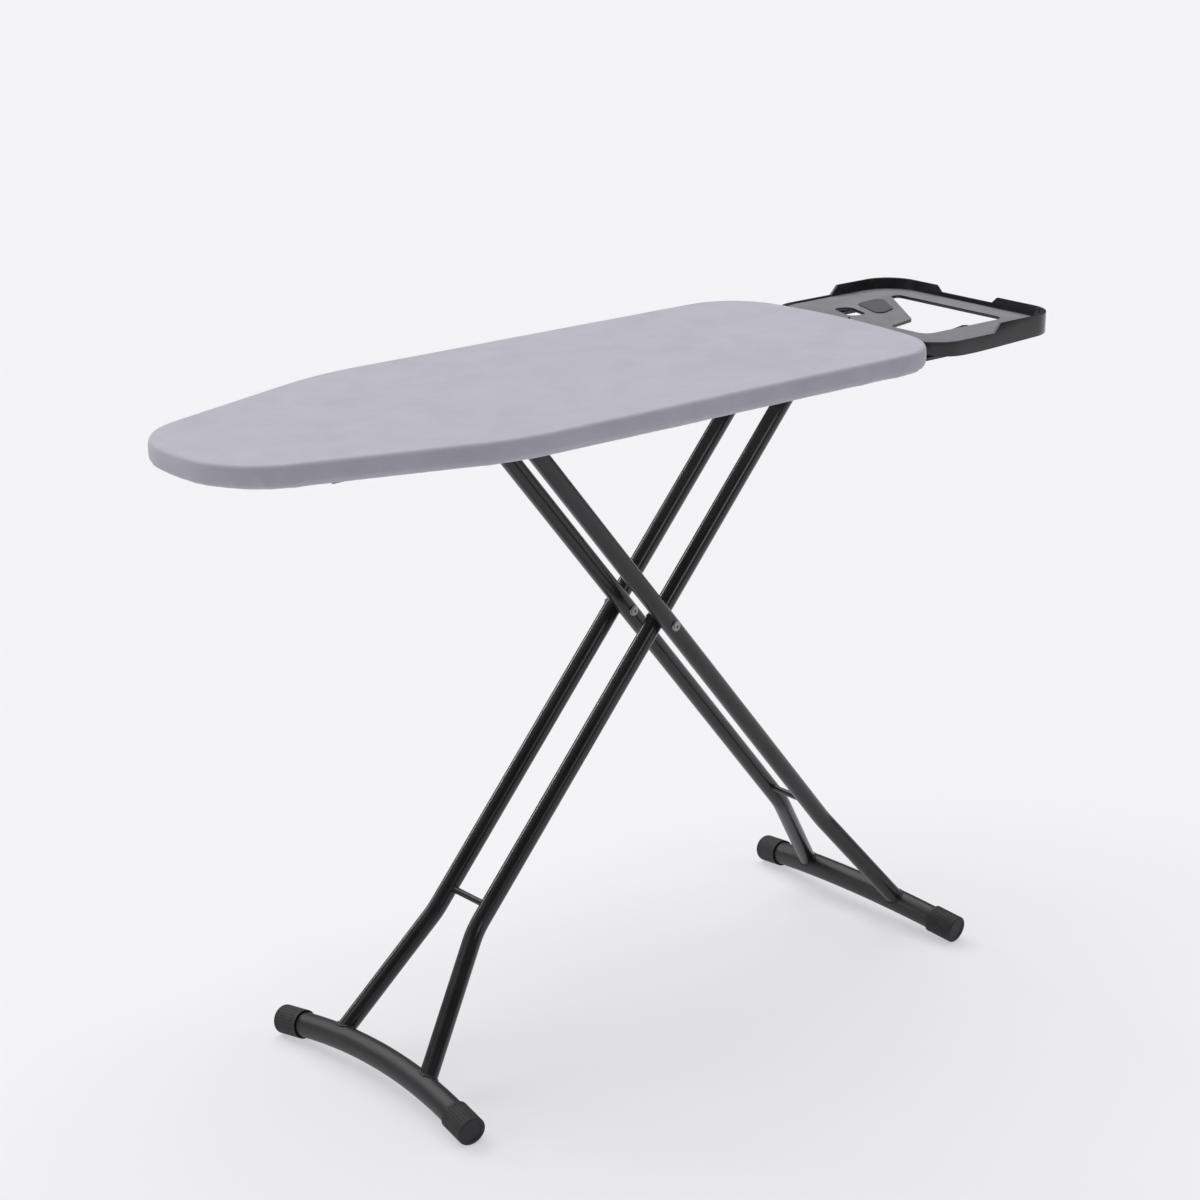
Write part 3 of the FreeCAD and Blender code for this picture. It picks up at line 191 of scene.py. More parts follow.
def smooth(piece: Piece, degrees: float = 40.0) -> None:
    """Shade a piece smooth, with edges sharper than this kept crisp."""
    pick(piece)
    bpy.ops.object.shade_smooth_by_angle(angle=math.radians(degrees))


def dress(piece: Piece, material: bpy.types.Material) -> None:
    """Give a piece or CAD node one material."""
    piece.data.materials.clear()
    piece.data.materials.append(material)


# ---------------------------------------------------------------- finishes
class Slot(Enum):
    """The record's material slots."""

    COVER = "cover_cloth"
    CORD = "cord"
    FOAM = "foam"
    PLASTIC = "black_plastic"
    SILICONE = "grey_silicone"
    CAP = "cap_rubber"
    ZINC = "zinc_steel"
    RIVET = "rivet_steel"
    TOP = "top_steel"
    COAT = "black_powder_coat"


@dataclass
class Surface:
    """A new material's shader, and the patterns that finishes connect to it."""

    material: bpy.types.Material

    def __post_init__(self) -> None:
        """Find the shader and the place that patterns are drawn at."""
        self.material.use_nodes = True
        self.tree = self.material.node_tree
        self.shader = next(n for n in self.tree.nodes if n.type == "BSDF_PRINCIPLED")
        self.place = add_node(self.tree, "TexCoord").outputs["Object"]

    def feed(self, node: bpy.types.Node, key: str | int, value: Socket | float) -> None:
        """Put a pattern or a plain number into a socket."""
        if isinstance(value, Socket):
            self.tree.links.new(value, node.inputs[key])
        else:
            node.inputs[key].default_value = value

    def set(self, values: dict[str, Socket | float]) -> None:
        """Put patterns or plain numbers into the shader's sockets."""
        for key, value in values.items():
            self.feed(self.shader, key, value)

    def noise(self, size_mm: float, detail: float, rough: float = 0.5, twist: float = 0.0,
              place: Socket | None = None) -> Socket:
        """Noise whose features are this many millimetres."""
        settings = {"Scale": per_metre(size_mm), "Detail": detail, "Roughness": rough,
                    "Distortion": twist}
        at = self.place if place is None else place
        return add_node(self.tree, "TexNoise", settings, {"Vector": at}).outputs["Fac"]

    def waves(self, spacing_mm: float, direction: str, twist: float, detail: float = 2.0,
              detail_scale: float = 1.0, place: Socket | None = None) -> Socket:
        """Bands this many millimetres apart."""
        settings = {"bands_direction": direction, "Scale": wave_scale(spacing_mm),
                    "Distortion": twist, "Detail": detail, "Detail Scale": detail_scale}
        at = self.place if place is None else place
        return add_node(self.tree, "TexWave", settings, {"Vector": at}).outputs["Fac"]

    def maths(self, operation: str, *terms: Socket | float) -> Socket:
        """Work out one operation on patterns and numbers."""
        node = add_node(self.tree, "Math", {"operation": operation})
        for index, term in enumerate(terms):
            self.feed(node, index, term)
        return node.outputs[0]

    def spread(self, factor: Socket, low: float, high: float) -> Socket:
        """Turn a pattern from 0 to 1 into one from low to high."""
        return add_node(self.tree, "MapRange", {"To Min": low, "To Max": high},
                        {"Value": factor}).outputs["Result"]

    def tint(self, factor: Socket, *stops: tuple[float, str]) -> Socket:
        """Colour a pattern by a ramp of hex colours.

        Args:
            factor: the pattern.
            stops: places on the ramp from 0 to 1 and their colours.

        Returns:
            The ramp's colour output.
        """
        ramp = add_node(self.tree, "ValToRGB", links={"Fac": factor})
        while len(ramp.color_ramp.elements) < len(stops):
            ramp.color_ramp.elements.new(0.5)
        for element, (position, code) in zip(ramp.color_ramp.elements, stops):
            element.position = position
            element.color = linear(code)
        return ramp.outputs["Color"]

    def bump(self, height: Socket, strength: Socket | float, depth_mm: float,
             under: Socket | None = None, invert: bool = False) -> Socket:
        """Raise the surface by a pattern.

        Args:
            height: the pattern.
            strength: how much of the relief shows.
            depth_mm: the relief's full depth.
            under: a first relief that this one lies on.
            invert: whether the pattern's low places stand out.

        Returns:
            The normal.
        """
        links = {"Height": height} if under is None else {"Height": height, "Normal": under}
        node = add_node(self.tree, "Bump", {"Distance": depth_mm * MM, "invert": invert}, links)
        self.feed(node, "Strength", strength)
        return node.outputs["Normal"]


class Finish:
    """A surface finish that makes its own material."""

    title: str = "finish"

    def paint(self, surface: Surface) -> None:
        """Connect the finish's patterns to the shader."""
        raise NotImplementedError

    def material(self) -> bpy.types.Material:
        """Make a new material with this finish."""
        surface = Surface(bpy.data.materials.new(self.title))
        self.paint(surface)
        return surface.material


@dataclass(frozen=True)
class BrushedCotton(Finish):
    """Plain-woven cotton, lightly brushed: matt, with a faint grid of thread.

    The real thread spacing is about 0.4 mm, too fine to show, so it is drawn coarser.
    """

    title: str = "brushed_grey_cotton"
    pale: str = "#b5b4be"
    mean: str = "#aeadb7"
    deep: str = "#a7a6b0"
    thread_mm: float = 1.9
    slub_mm: float = 2.6
    mottle_mm: float = 46.0
    slub_share: float = 0.34
    weave_share: float = 0.10
    uv_map: str = "cut"

    def paint(self, surface: Surface) -> None:
        """Weave, slub and a soft mottle of the nap."""
        flat = add_node(surface.tree, "UVMap", {"uv_map": self.uv_map}).outputs["UV"]
        warp, weft = (surface.waves(self.thread_mm, axis, 0.7, detail=1.0, detail_scale=0.6,
                                    place=flat) for axis in "XY")
        weave = surface.maths("MULTIPLY", warp, weft)
        nap = surface.noise(self.mottle_mm, 5.0, rough=0.62)
        slub = surface.noise(self.slub_mm, 3.0, rough=0.7, place=flat)
        grain = surface.maths("MULTIPLY_ADD", slub, self.slub_share, nap)
        both = surface.maths("MULTIPLY_ADD", weave, self.weave_share, grain)
        fine = surface.bump(weave, 0.30, 0.25)
        surface.set({
            "Base Color": surface.tint(both, (0.36, self.deep), (0.68, self.mean),
                                       (1.0, self.pale)),
            "Normal": surface.bump(slub, 0.22, 0.4, under=fine),
            "Roughness": 0.92, "Specular IOR Level": 0.25,
            "Sheen Weight": 0.18, "Sheen Roughness": 0.45})


@dataclass(frozen=True)
class PowderCoat(Finish):
    """Baked polyester powder on steel: satin, with a fine orange peel."""

    title: str = "black_powder_coat"
    deep: str = "#131315"
    pale: str = "#202023"
    cloud_mm: float = 70.0
    peel_mm: float = 3.2
    roughness: float = 0.25

    def paint(self, surface: Surface) -> None:
        """Orange peel, a slow change of depth and slight rubbing."""
        cloud = surface.noise(self.cloud_mm, 3.0)
        surface.set({
            "Base Color": surface.tint(cloud, (0.35, self.deep), (0.7, self.pale)),
            "Normal": surface.bump(surface.noise(self.peel_mm, 2.0), 0.03, 0.08),
            "Roughness": surface.spread(cloud, self.roughness - 0.05, self.roughness + 0.09)})


@dataclass(frozen=True)
class MouldedPlastic(Finish):
    """Injection-moulded polypropylene or nylon with a spark-eroded grain."""

    title: str = "black_moulded_plastic"
    deep: str = "#19191b"
    pale: str = "#232325"
    flow_mm: float = 38.0
    grain_mm: float = 0.9
    depth_mm: float = 0.08
    roughness: float = 0.38

    def paint(self, surface: Surface) -> None:
        """Fine grain, and flow marks from the mould."""
        flow = surface.noise(self.flow_mm, 3.0)
        grain = surface.noise(self.grain_mm, 3.0, rough=0.65)
        surface.set({
            "Base Color": surface.tint(flow, (0.3, self.deep), (0.75, self.pale)),
            "Normal": surface.bump(grain, 0.5, self.depth_mm),
            "Roughness": surface.spread(flow, self.roughness - 0.04, self.roughness + 0.08)})


@dataclass(frozen=True)
class RestPlastic(Finish):
    """Glass-filled nylon of the iron rest: polished walls, and a grained floor whose lighter grey
    is partly painted reflection.
    """

    title: str = "iron_rest_nylon"
    wall_deep: str = "#18181a"
    wall_pale: str = "#222225"
    # floor colours: partly the floor's own grey, partly painted reflection of the bright room
    floor_deep_with_painted_reflection: str = "#78777d"
    floor_pale_with_painted_reflection: str = "#838288"
    floor_low: float = 0.7858
    floor_high: float = 0.7880
    least_upward: float = 0.7
    cloud_mm: float = 34.0
    grain_mm: float = 1.1

    def paint(self, surface: Surface) -> None:
        """Floor and walls by height and facing, each with its own grain and gloss; the upward
        floor's lighter colour is partly its own grey and partly painted reflection of the bright
        room.
        """
        tree = surface.tree
        height = add_node(tree, "SeparateXYZ", links={0: surface.place}).outputs["Z"]
        normal = add_node(tree, "NewGeometry").outputs["Normal"]
        facing = add_node(tree, "SeparateXYZ", links={0: normal}).outputs["Z"]
        band = surface.maths("MULTIPLY", surface.maths("GREATER_THAN", height, self.floor_low),
                             surface.maths("LESS_THAN", height, self.floor_high))
        upward = surface.maths("GREATER_THAN", facing, self.least_upward)
        floor = surface.maths("MULTIPLY", band, upward)
        cloud = surface.noise(self.cloud_mm, 4.0)
        walls = surface.tint(cloud, (0.3, self.wall_deep), (0.75, self.wall_pale))
        # upward floor is coloured lighter: partly its own grey, partly painted reflection of the
        # bright room
        floor_colour_with_painted_reflection = surface.tint(cloud, (0.3, self.floor_deep_with_painted_reflection), (0.75, self.floor_pale_with_painted_reflection))
        both = add_node(tree, "Mix", {"data_type": "RGBA"})
        for index, value in ((0, floor), (6, walls), (7, floor_colour_with_painted_reflection)):
            surface.feed(both, index, value)
        surface.set({
            "Base Color": both.outputs[2],
            "Roughness": surface.spread(floor, 0.24, 0.46),
            "Normal": surface.bump(surface.noise(self.grain_mm, 3.0),
                                   surface.spread(floor, 0.08, 0.45), 0.12)})


@dataclass(frozen=True)
class Rubber(Finish):
    """Moulded thermoplastic rubber of the foot caps: matt, faintly dusty."""

    title: str = "ribbed_cap_rubber"
    deep: str = "#1c1c1e"
    pale: str = "#2e2e31"
    dust_mm: float = 9.0
    skin_mm: float = 0.8
    roughness: float = 0.62

    def paint(self, surface: Surface) -> None:
        """Matt skin with a little dust."""
        dust = surface.noise(self.dust_mm, 5.0, rough=0.7)
        surface.set({
            "Base Color": surface.tint(dust, (0.4, self.deep), (0.8, self.pale)),
            "Normal": surface.bump(surface.noise(self.skin_mm, 2.0), 0.4, 0.08),
            "Roughness": surface.spread(dust, self.roughness - 0.06, self.roughness + 0.14)})


@dataclass(frozen=True)
class Silicone(Finish):
    """Heat-proof silicone pad: dull, with a raised dot grain."""

    title: str = "grey_silicone"
    deep: str = "#45454a"
    pale: str = "#4e4e53"
    dot_mm: float = 3.0

    def paint(self, surface: Surface) -> None:
        """Rows of small raised dots."""
        dots = add_node(surface.tree, "TexVoronoi",
                        {"Scale": per_metre(self.dot_mm), "Randomness": 0.0},
                        {"Vector": surface.place}).outputs["Distance"]
        surface.set({
            "Base Color": surface.tint(dots, (0.2, self.pale), (0.6, self.deep)),
            "Normal": surface.bump(dots, 0.6, 0.3, invert=True),
            "Roughness": 0.6})


@dataclass(frozen=True)
class BareSteel(Finish):
    """Drawn or stamped steel, zinc-plated or polished, with faint rolling lines."""

    title: str = "zinc_plated_steel"
    deep: str = "#a2a5a9"
    pale: str = "#c3c5c8"
    roughness: float = 0.3
    cloud_mm: float = 5.0
    line_mm: float = 1.2

    def paint(self, surface: Surface) -> None:
        """Cloudy plating and fine lines."""
        cloud = surface.noise(self.cloud_mm, 4.0)
        lines = surface.waves(self.line_mm, "X", 1.5)
        surface.set({
            "Base Color": surface.tint(cloud, (0.3, self.deep), (0.7, self.pale)),
            "Normal": surface.bump(lines, 0.10, 0.05),
            "Roughness": surface.spread(cloud, self.roughness - 0.07, self.roughness + 0.12),
            "Metallic": 1.0})


@dataclass(frozen=True)
class Felt(Finish):
    """Needled felt over foam: pale, woolly and quite matt."""

    title: str = "cream_foam_felt"
    deep: str = "#c9c4b6"
    pale: str = "#e2ded3"
    fibre_mm: float = 2.2

    def paint(self, surface: Surface) -> None:
        """Short fibres in every direction."""
        fibre = surface.noise(self.fibre_mm, 6.0, rough=0.75, twist=1.2)
        surface.set({
            "Base Color": surface.tint(fibre, (0.35, self.deep), (0.65, self.pale)),
            "Normal": surface.bump(fibre, 0.6, 0.6),
            "Roughness": 0.95})


@dataclass(frozen=True)
class Braid(Finish):
    """Braided polyester cord or sewing thread: slanting strands."""

    title: str = "braided_thread"
    deep: str = "#8d8c94"
    pale: str = "#b9b8bf"
    strand_mm: float = 1.6

    def paint(self, surface: Surface) -> None:
        """Strands that run at a slant."""
        strands = surface.waves(self.strand_mm, "DIAGONAL", 1.0)
        surface.set({
            "Base Color": surface.tint(strands, (0.2, self.deep), (0.8, self.pale)),
            "Normal": surface.bump(strands, 0.5, 0.3),
            "Roughness": 0.8})


# ---------------------------------------------------------------- deck outline
@dataclass(frozen=True)
class DeckOutline:
    """Plan outline of the deck: a chain of tangent rounds and straights."""

    nose_x: float = -0.604
    tail_x: float = 0.375
    half_width: float = 0.188
    tip_radius: float = 0.300
    nose_radius: float = 0.100
    nose_offset: float = 0.018
    taper_degrees: float = 17.4
    blend_radius: float = 0.330
    corner_radius: float = 0.085
    tail_radius: float = 0.700

    def half_chain(self) -> list[tuple[Vector, float, float, float]]:
        """Rounds and straights of the left half, from the tail's middle to the tip.

        Returns:
            Arcs as centre, radius and two angles; a straight has radius zero, its start
            as the centre, its length as the first angle and its heading as the second.
        """
        slope = math.radians(self.taper_degrees)
        side = math.pi / 2
        taper = side + slope
        corner_y = self.half_width - self.corner_radius
        blend_y = self.half_width - self.blend_radius
        tip_x = self.nose_x + self.tip_radius
        gap = self.tip_radius - self.nose_radius
        nose_x = tip_x - math.sqrt(gap ** 2 - self.nose_offset ** 2)
        tail_x = self.tail_x - self.tail_radius
        reach = self.tail_radius - self.corner_radius
        corner_x = tail_x + math.sqrt(reach ** 2 - corner_y ** 2)
        tail_angle = math.atan2(corner_y, corner_x - tail_x)
        tip_angle = math.atan2(self.nose_offset, nose_x - tip_x)
        nose_end = Vector((nose_x + self.nose_radius * math.cos(taper),
                           self.nose_offset + self.nose_radius * math.sin(taper), 0))
        rise = blend_y + self.blend_radius * math.sin(taper) - nose_end.y
        blend_x = nose_end.x + rise / math.tan(slope) - self.blend_radius * math.cos(taper)
        blend_end = Vector((blend_x + self.blend_radius * math.cos(taper),
                            blend_y + self.blend_radius * math.sin(taper), 0))
        side_start = Vector((corner_x, self.half_width, 0))
        return [
            (Vector((tail_x, 0, 0)), self.tail_radius, 0.0, tail_angle),
            (Vector((corner_x, corner_y, 0)), self.corner_radius, tail_angle, side),
            (side_start, 0.0, corner_x - blend_x, math.pi),
            (Vector((blend_x, blend_y, 0)), self.blend_radius, side, taper),
            (blend_end, 0.0, (nose_end - blend_end).length, math.pi + slope),
            (Vector((nose_x, self.nose_offset, 0)), self.nose_radius, taper, tip_angle),
            (Vector((tip_x, 0, 0)), self.tip_radius, tip_angle, math.pi),
        ]

    def sample(self, count: int) -> list[tuple[Vector, Vector]]:
        """Evenly spaced points of the outline, counter-clockwise.

        Args:
            count: how many points.

        Returns:
            Each point with its outward normal.
        """
        chain = self.half_chain()
        lengths = [abs(b - a) * r if r else a for _, r, a, b in chain]
        half = sum(lengths)
        result = []
        for index in range(count):
            along = 2 * half * (index + 0.5) / count
            mirrored = along > half
            left = 2 * half - along if mirrored else along
            point, normal = self._at(chain, lengths, left)
            if mirrored:
                point.y, normal.y = -point.y, -normal.y
            result.append((point, normal))
        return result

    @staticmethod
    def _at(chain: list, lengths: list[float], along: float) -> tuple[Vector, Vector]:
        """Point and outward normal at one distance along the half chain."""
        for (centre, radius, first, last), length in zip(chain, lengths):
            if along <= length or centre is chain[-1][0]:
                if radius:
                    angle = first + (last - first) * min(along / length, 1.0)
                    normal = Vector((math.cos(angle), math.sin(angle), 0))
                    return centre + normal * radius, normal
                heading = Vector((math.cos(last), math.sin(last), 0))
                return centre + heading * along, Vector((heading.y, -heading.x, 0))
            along -= length
        raise ValueError("past the end of the outline")


def filled(points: Ring, spacing: float, margin: float) -> tuple[Ring, Faces]:
    """Fill a closed plan loop with evenly spread triangles.

    Args:
        points: the loop, counter-clockwise, all at one height.
        spacing: distance between the inner points.
        margin: the least distance from the loop to an inner point.

    Returns:
        The inner points, and triangles that number the loop's points first.
    """
    height = points[0].z
    flat = [p.to_2d() for p in points]
    low_x, high_x = min(p.x for p in flat), max(p.x for p in flat)
    high_y = max(p.y for p in flat)
    row_step = spacing * math.sqrt(3) / 2
    inner = []
    rows = int(high_y / row_step) + 1
    for row in range(-rows, rows + 1):
        y = row * row_step
        x = low_x + spacing * (0.5 if row % 2 else 0.25)
        while x < high_x:
            inner.append(Vector((x, y)))
            x += spacing
    step = max(1, len(flat) // 240)
    coarse = flat[::step]
    inner = [p for p in inner if _clear(p, coarse, margin)]
    count = len(flat)
    edges = [(i, (i + 1) % count) for i in range(count)]
    made = geometry.delaunay_2d_cdt(flat + inner, edges, [], 1, 1e-7)
    faces = [tuple(face) for face in made[2]]
    return [Vector((p.x, p.y, height)) for p in inner], faces


def _clear(point: Vector, loop: list[Vector], margin: float) -> bool:
    """Whether a plan point is inside a loop and at least this far from it."""
    inside = False
    for i, a in enumerate(loop):
        b = loop[i - 1]
        if (a - point).length < margin:
            return False
        if (a.y > point.y) != (b.y > point.y):
            cross = (b.x - a.x) * (point.y - a.y) / (b.y - a.y) + a.x
            if point.x < cross:
                inside = not inside
    return inside


def inset_rings(samples: list[tuple[Vector, Vector]],
                rows: list[tuple[float, float]]) -> list[Ring]:
    """Closed rings inside an outline, one for each row of inset in mm and height."""
    return [[Vector((p.x - n.x * inset * MM, p.y - n.y * inset * MM, height))
             for p, n in samples] for inset, height in rows]


def skin(rings: list[Ring], first: int = 0, flip: bool = False) -> Faces:
    """Quads between closed rings of equal length.

    Args:
        rings: the rings, in order.
        first: number of the first ring's first point.
        flip: whether to turn the faces round.

    Returns:
        Corner numbers of each quad.
    """
    count = len(rings[0])
    faces = []
    for level in range(len(rings) - 1):
        a = first + level * count
        b = a + count
        for i in range(count):
            j = (i + 1) % count
            quad = (a + i, b + i, b + j, a + j)
            faces.append(tuple(reversed(quad)) if flip else quad)
    return faces


# ---------------------------------------------------------------- cloth cover
@dataclass
class Fold:
    """One fold or pucker of the cover's side band."""

    x_top: float
    x_low: float
    height_mm: float
    width_mm: float
    side: int = -1
    start: float = 0.0


@dataclass
class ClothCover:
    """Grey cotton cover: flat top, side band, and a hem gathered by its drawstring."""

    outline: DeckOutline
    top: float
    around: int = 480
    edge_round: float = 0.005
    cloth: float = 0.7 * MM
    flare: float = 0.62
    cap: float = 3.0 * MM
    height_share: float = 0.4
    held_rings: int = 7
    tube_depth: float = 16.3
    tube_radius: float = 8.5
    tube_inset: float = 1.3
    foam_inset: float = 1.45
    clearance_mm: float = 0.15
    loose_mm: float = 0.6
    first_fold_ring: int = 6
    nose_gather: tuple[float, float] = (-0.49, 0.10)
    tail_gather: tuple[float, float] = (0.30, 0.07)
    frames: int = 24
    top_spacing: float = 0.013
    top_margin: float = 0.008
    wide_ripple: tuple[float, float] = (14.0, 0.20)
    narrow_ripple: tuple[float, float] = (45.0, 0.05)
    name: str = "cotton_cover"
    # height below the top, inset where the band hangs free, inset where it is taut
    band: tuple = ((9.0, 0.0, 0.3), (13.0, 0.0, 0.6), (16.5, 0.0, 1.0), (19.5, 0.2, 1.9),
                   (22.0, 0.5, 3.4), (24.0, 1.3, 5.6), (25.4, 2.9, 8.2), (26.0, 5.6, 10.6))
    under: tuple = ((26.1, 9.5, 13.0), (26.1, 14.0, 16.0), (26.0, 18.5, 19.5),
                    (26.0, 23.0, 23.0))
    folds: list[Fold] = field(default_factory=lambda: [
        Fold(-0.566, -0.547, 2.3, 4.2), Fold(-0.5790, -0.5775, 1.9, 3.2, start=0.3),
        Fold(-0.5862, -0.5872, 1.8, 3.2, start=0.3), Fold(-0.5925, -0.5930, 1.2, 4.0, start=0.5),
        Fold(-0.5975, -0.5972, 1.6, 3.4, start=0.35), Fold(-0.6014, -0.6018, 1.5, 3.4, start=0.4),
        Fold(-0.571, -0.566, 1.4, 4.0, start=0.45), Fold(-0.535, -0.528, 1.0, 7.0, start=0.4),
        Fold(0.236, 0.205, 1.2, 9.0), Fold(0.290, 0.258, 1.3, 8.0), Fold(0.322, 0.298, 1.0, 6.0),
        Fold(-0.30, -0.335, 0.5, 12.0), Fold(-0.05, -0.09, 0.45, 14.0),
        Fold(0.09, 0.13, -0.35, 12.0)])

    cotton: dict = field(default_factory=lambda: {
        "quality": 7, "mass": 0.0004, "tension_stiffness": 12, "compression_stiffness": 12,
        "shear_stiffness": 4, "bending_stiffness": 0.02})

    def profile(self) -> list[tuple[float, float, float]]:
        """Cross-section of the cover's edge.

        Returns:
            Rows of inset when loose, inset when taut, and height.
        """
        rows = [(12.0, 12.0, 0.0), (8.5, 8.5, 0.0), (5.0, 5.0, 0.0)]
        round_mm = self.edge_round / MM
        for angle in (22.5, 45.0, 67.5, 90.0):
            turn = math.radians(angle)
            inset = round_mm * (1 - math.sin(turn))
            rows.append((inset, inset, round_mm * (1 - math.cos(turn))))
        rows += [(loose, taut, drop) for drop, loose, taut in self.band]
        rows += [(loose, taut, drop) for drop, loose, taut in self.under]
        return [(a * MM, b * MM, self.top - drop * MM) for a, b, drop in rows]

    def tautness(self, point: Vector) -> float:
        """How tightly the drawstring pulls the band in at one place, 0 to 1."""
        nose = min(max((self.nose_gather[0] - point.x) / self.nose_gather[1], 0.0), 1.0)
        tail = min(max((point.x - self.tail_gather[0]) / self.tail_gather[1], 0.0), 1.0)
        return 0.10 + 0.65 * nose * nose * (3 - 2 * nose) + 0.25 * tail

    def rings(self) -> tuple[list[Ring], list[Ring]]:
        """Rings of the worn cover, and the same rings of its cut.

        Returns:
            Rings as worn and as cut.
        """
        samples = self.outline.sample(self.around)
        profile = self.profile()
        worn, cut = [], []
        distance = 0.0
        drop = math.sqrt(1 - self.flare ** 2)
        for level, (loose, taut, z) in enumerate(profile):
            if level:
                last = profile[level - 1]
                distance += math.hypot(loose - last[0], z - last[2])
            ring, flat = [], []
            for index, (point, normal) in enumerate(samples):
                pull = self.tautness(point)
                inset = loose + (taut - loose) * pull
                place = point - normal * (inset - self._seed(index, level, point))
                ring.append(Vector((place.x, place.y, z)))
                out = self.flare * distance - profile[0][0]
                spread = point + normal * out
                flat.append(Vector((spread.x, spread.y, self.top - drop * distance)))
            worn.append(ring)
            cut.append(flat)
        return worn, cut

    def _seed(self, index: int, level: int, point: Vector) -> float:
        """Small uneven push that starts the puckers."""
        depth = max(level - self.first_fold_ring, 0) / 12
        wave = noise.noise(Vector((index * 0.19, level * 0.12, 3.7)))
        return 1.1 * MM * depth * wave * (0.35 + self.tautness(point))

    def build(self) -> Piece:
        """Make the cover, settle it and finish it.

        Returns:
            The cover.
        """
        worn, cut = self.rings()
        inner, triangles = filled(worn[0], self.top_spacing, self.top_margin)
        points = [p for ring in worn for p in ring] + inner
        flat = [p for ring in cut for p in ring] + inner
        shift = len(worn) * self.around - self.around
        top_faces = [tuple(i if i < self.around else i + shift for i in face)
                     for face in triangles]
        piece = new_piece(self.name, points, top_faces + skin(worn))
        self._map_cut(piece, flat)
        self._settle(piece, points, flat, len(worn))
        self._keep_clear(piece, len(worn))
        self._add_folds(piece, len(worn))
        self._soften_top(piece)
        apply_modifier(piece, "SUBSURF", levels=1, render_levels=1)
        apply_modifier(piece, "SOLIDIFY", thickness=self.cloth, offset=-1.0)
        smooth(piece, 60)
        dress(piece, BrushedCotton().material())
        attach(piece, "deck")
        return piece

    @staticmethod
    def _map_cut(piece: Piece, flat: list[Vector]) -> None:
        """Store the cut's flat place of each point, in metres, as a UV map."""
        layer = piece.data.uv_layers.new(name="cut")
        for loop in piece.data.loops:
            place = flat[loop.vertex_index]
            layer.data[loop.index].uv = (place.x, place.y)

    def _settle(self, piece: Piece, points: list[Vector], flat: list[Vector],
                levels: int) -> None:
        """Let the gathered cloth buckle over the deck with a cloth simulation."""
        body = self._deck_form()
        band_end = (levels - 1) * self.around
        # the top, the upper rings and the last ring stay where they are worn
        held = [*range(self.held_rings * self.around),
                *range(band_end, band_end + self.around),
                *range(levels * self.around, len(points))]
        group = piece.vertex_groups.new(name="held")
        group.add(held, 1.0, "REPLACE")
        piece.shape_key_add(name="worn")
        key = piece.shape_key_add(name="cut")
        for place, target in zip(key.data, flat):
            place.co = target
        key.value = 0.0
        cloth = piece.modifiers.new("settle", "CLOTH")
        for setting, value in self.cotton.items():
            setattr(cloth.settings, setting, value)
        cloth.settings.vertex_group_mass = group.name
        cloth.settings.rest_shape_key = key
        cloth.settings.effector_weights.gravity = 0.0
        cloth.collision_settings.distance_min = 0.3 * MM
        cloth.collision_settings.collision_quality = 3
        cloth.collision_settings.use_self_collision = False
        cloth.point_cache.frame_start = 1
        cloth.point_cache.frame_end = self.frames
        scene = bpy.context.scene
        for frame_number in range(1, self.frames + 1):
            scene.frame_set(frame_number)
        settled = piece.evaluated_get(bpy.context.evaluated_depsgraph_get()).to_mesh()
        moved = [v.co.copy() for v in settled.vertices]
        piece.modifiers.remove(cloth)
        piece.shape_key_clear()
        for vertex, start, end in zip(piece.data.vertices, points, moved):
            step = end - start
            step.z *= self.height_share
            if step.length > self.cap:
                step *= self.cap / step.length
            vertex.co = start + step
        piece.data.update()
        bpy.data.objects.remove(body)
        scene.frame_set(1)
        travel = max((a - b).length for a, b in zip(points, moved))
        LOG.info("cover settled, largest move %.1f mm", travel / MM)

    def _deck_form(self) -> Piece:
        """Solid form of the padded deck for the cloth to lie against."""
        rows = [(9.0, 0.6), (5.6, 1.1), (1.6, 5.4), (1.2, 9.0), (1.2, 18.0), (3.6, 23.2),
                (9.0, 25.2), (30.0, 25.2)]
        count = self.around // 2
        rings = inset_rings(self.outline.sample(count), [(a, self.top - d * MM) for a, d in rows])
        points = [p for ring in rings for p in ring]
        lid = tuple(range(count))
        base = tuple(reversed(range(len(points) - count, len(points))))
        form = new_piece("deck_form", points, skin(rings) + [lid, base])
        form.modifiers.new("collision", "COLLISION")
        form.collision.thickness_outer = 0.2 * MM
        return form

    def _least_out(self, depth: float) -> float:
        """Largest inset at which the cloth clears the foam and the frame tube.

        Args:
            depth: millimetres below the deck's top.

        Returns:
            The inset of the cloth's outer side in millimetres.
        """
        room = self.foam_inset
        away = abs(depth - self.tube_depth)
        if away < self.tube_radius:
            bulge = math.sqrt(self.tube_radius ** 2 - away ** 2)
            room = self.tube_inset + self.tube_radius - bulge
        elif depth > self.tube_depth:
            return math.inf
        return room - self.cloth / MM - self.clearance_mm

    def _keep_clear(self, piece: Piece, levels: int) -> None:
        """Keep the band between the frame or the foam and its loosest place."""
        samples = self.outline.sample(self.around)
        for level in range(self.held_rings, levels):
            for i, (point, normal) in enumerate(samples):
                vertex = piece.data.vertices[level * self.around + i]
                inset = (point - vertex.co).to_2d().dot(normal.to_2d()) / MM
                room = self._least_out((self.top - vertex.co.z) / MM)
                if inset > room:
                    vertex.co += normal * ((inset - room) * MM)
                elif inset < -self.loose_mm:
                    vertex.co += normal * ((inset + self.loose_mm) * MM)

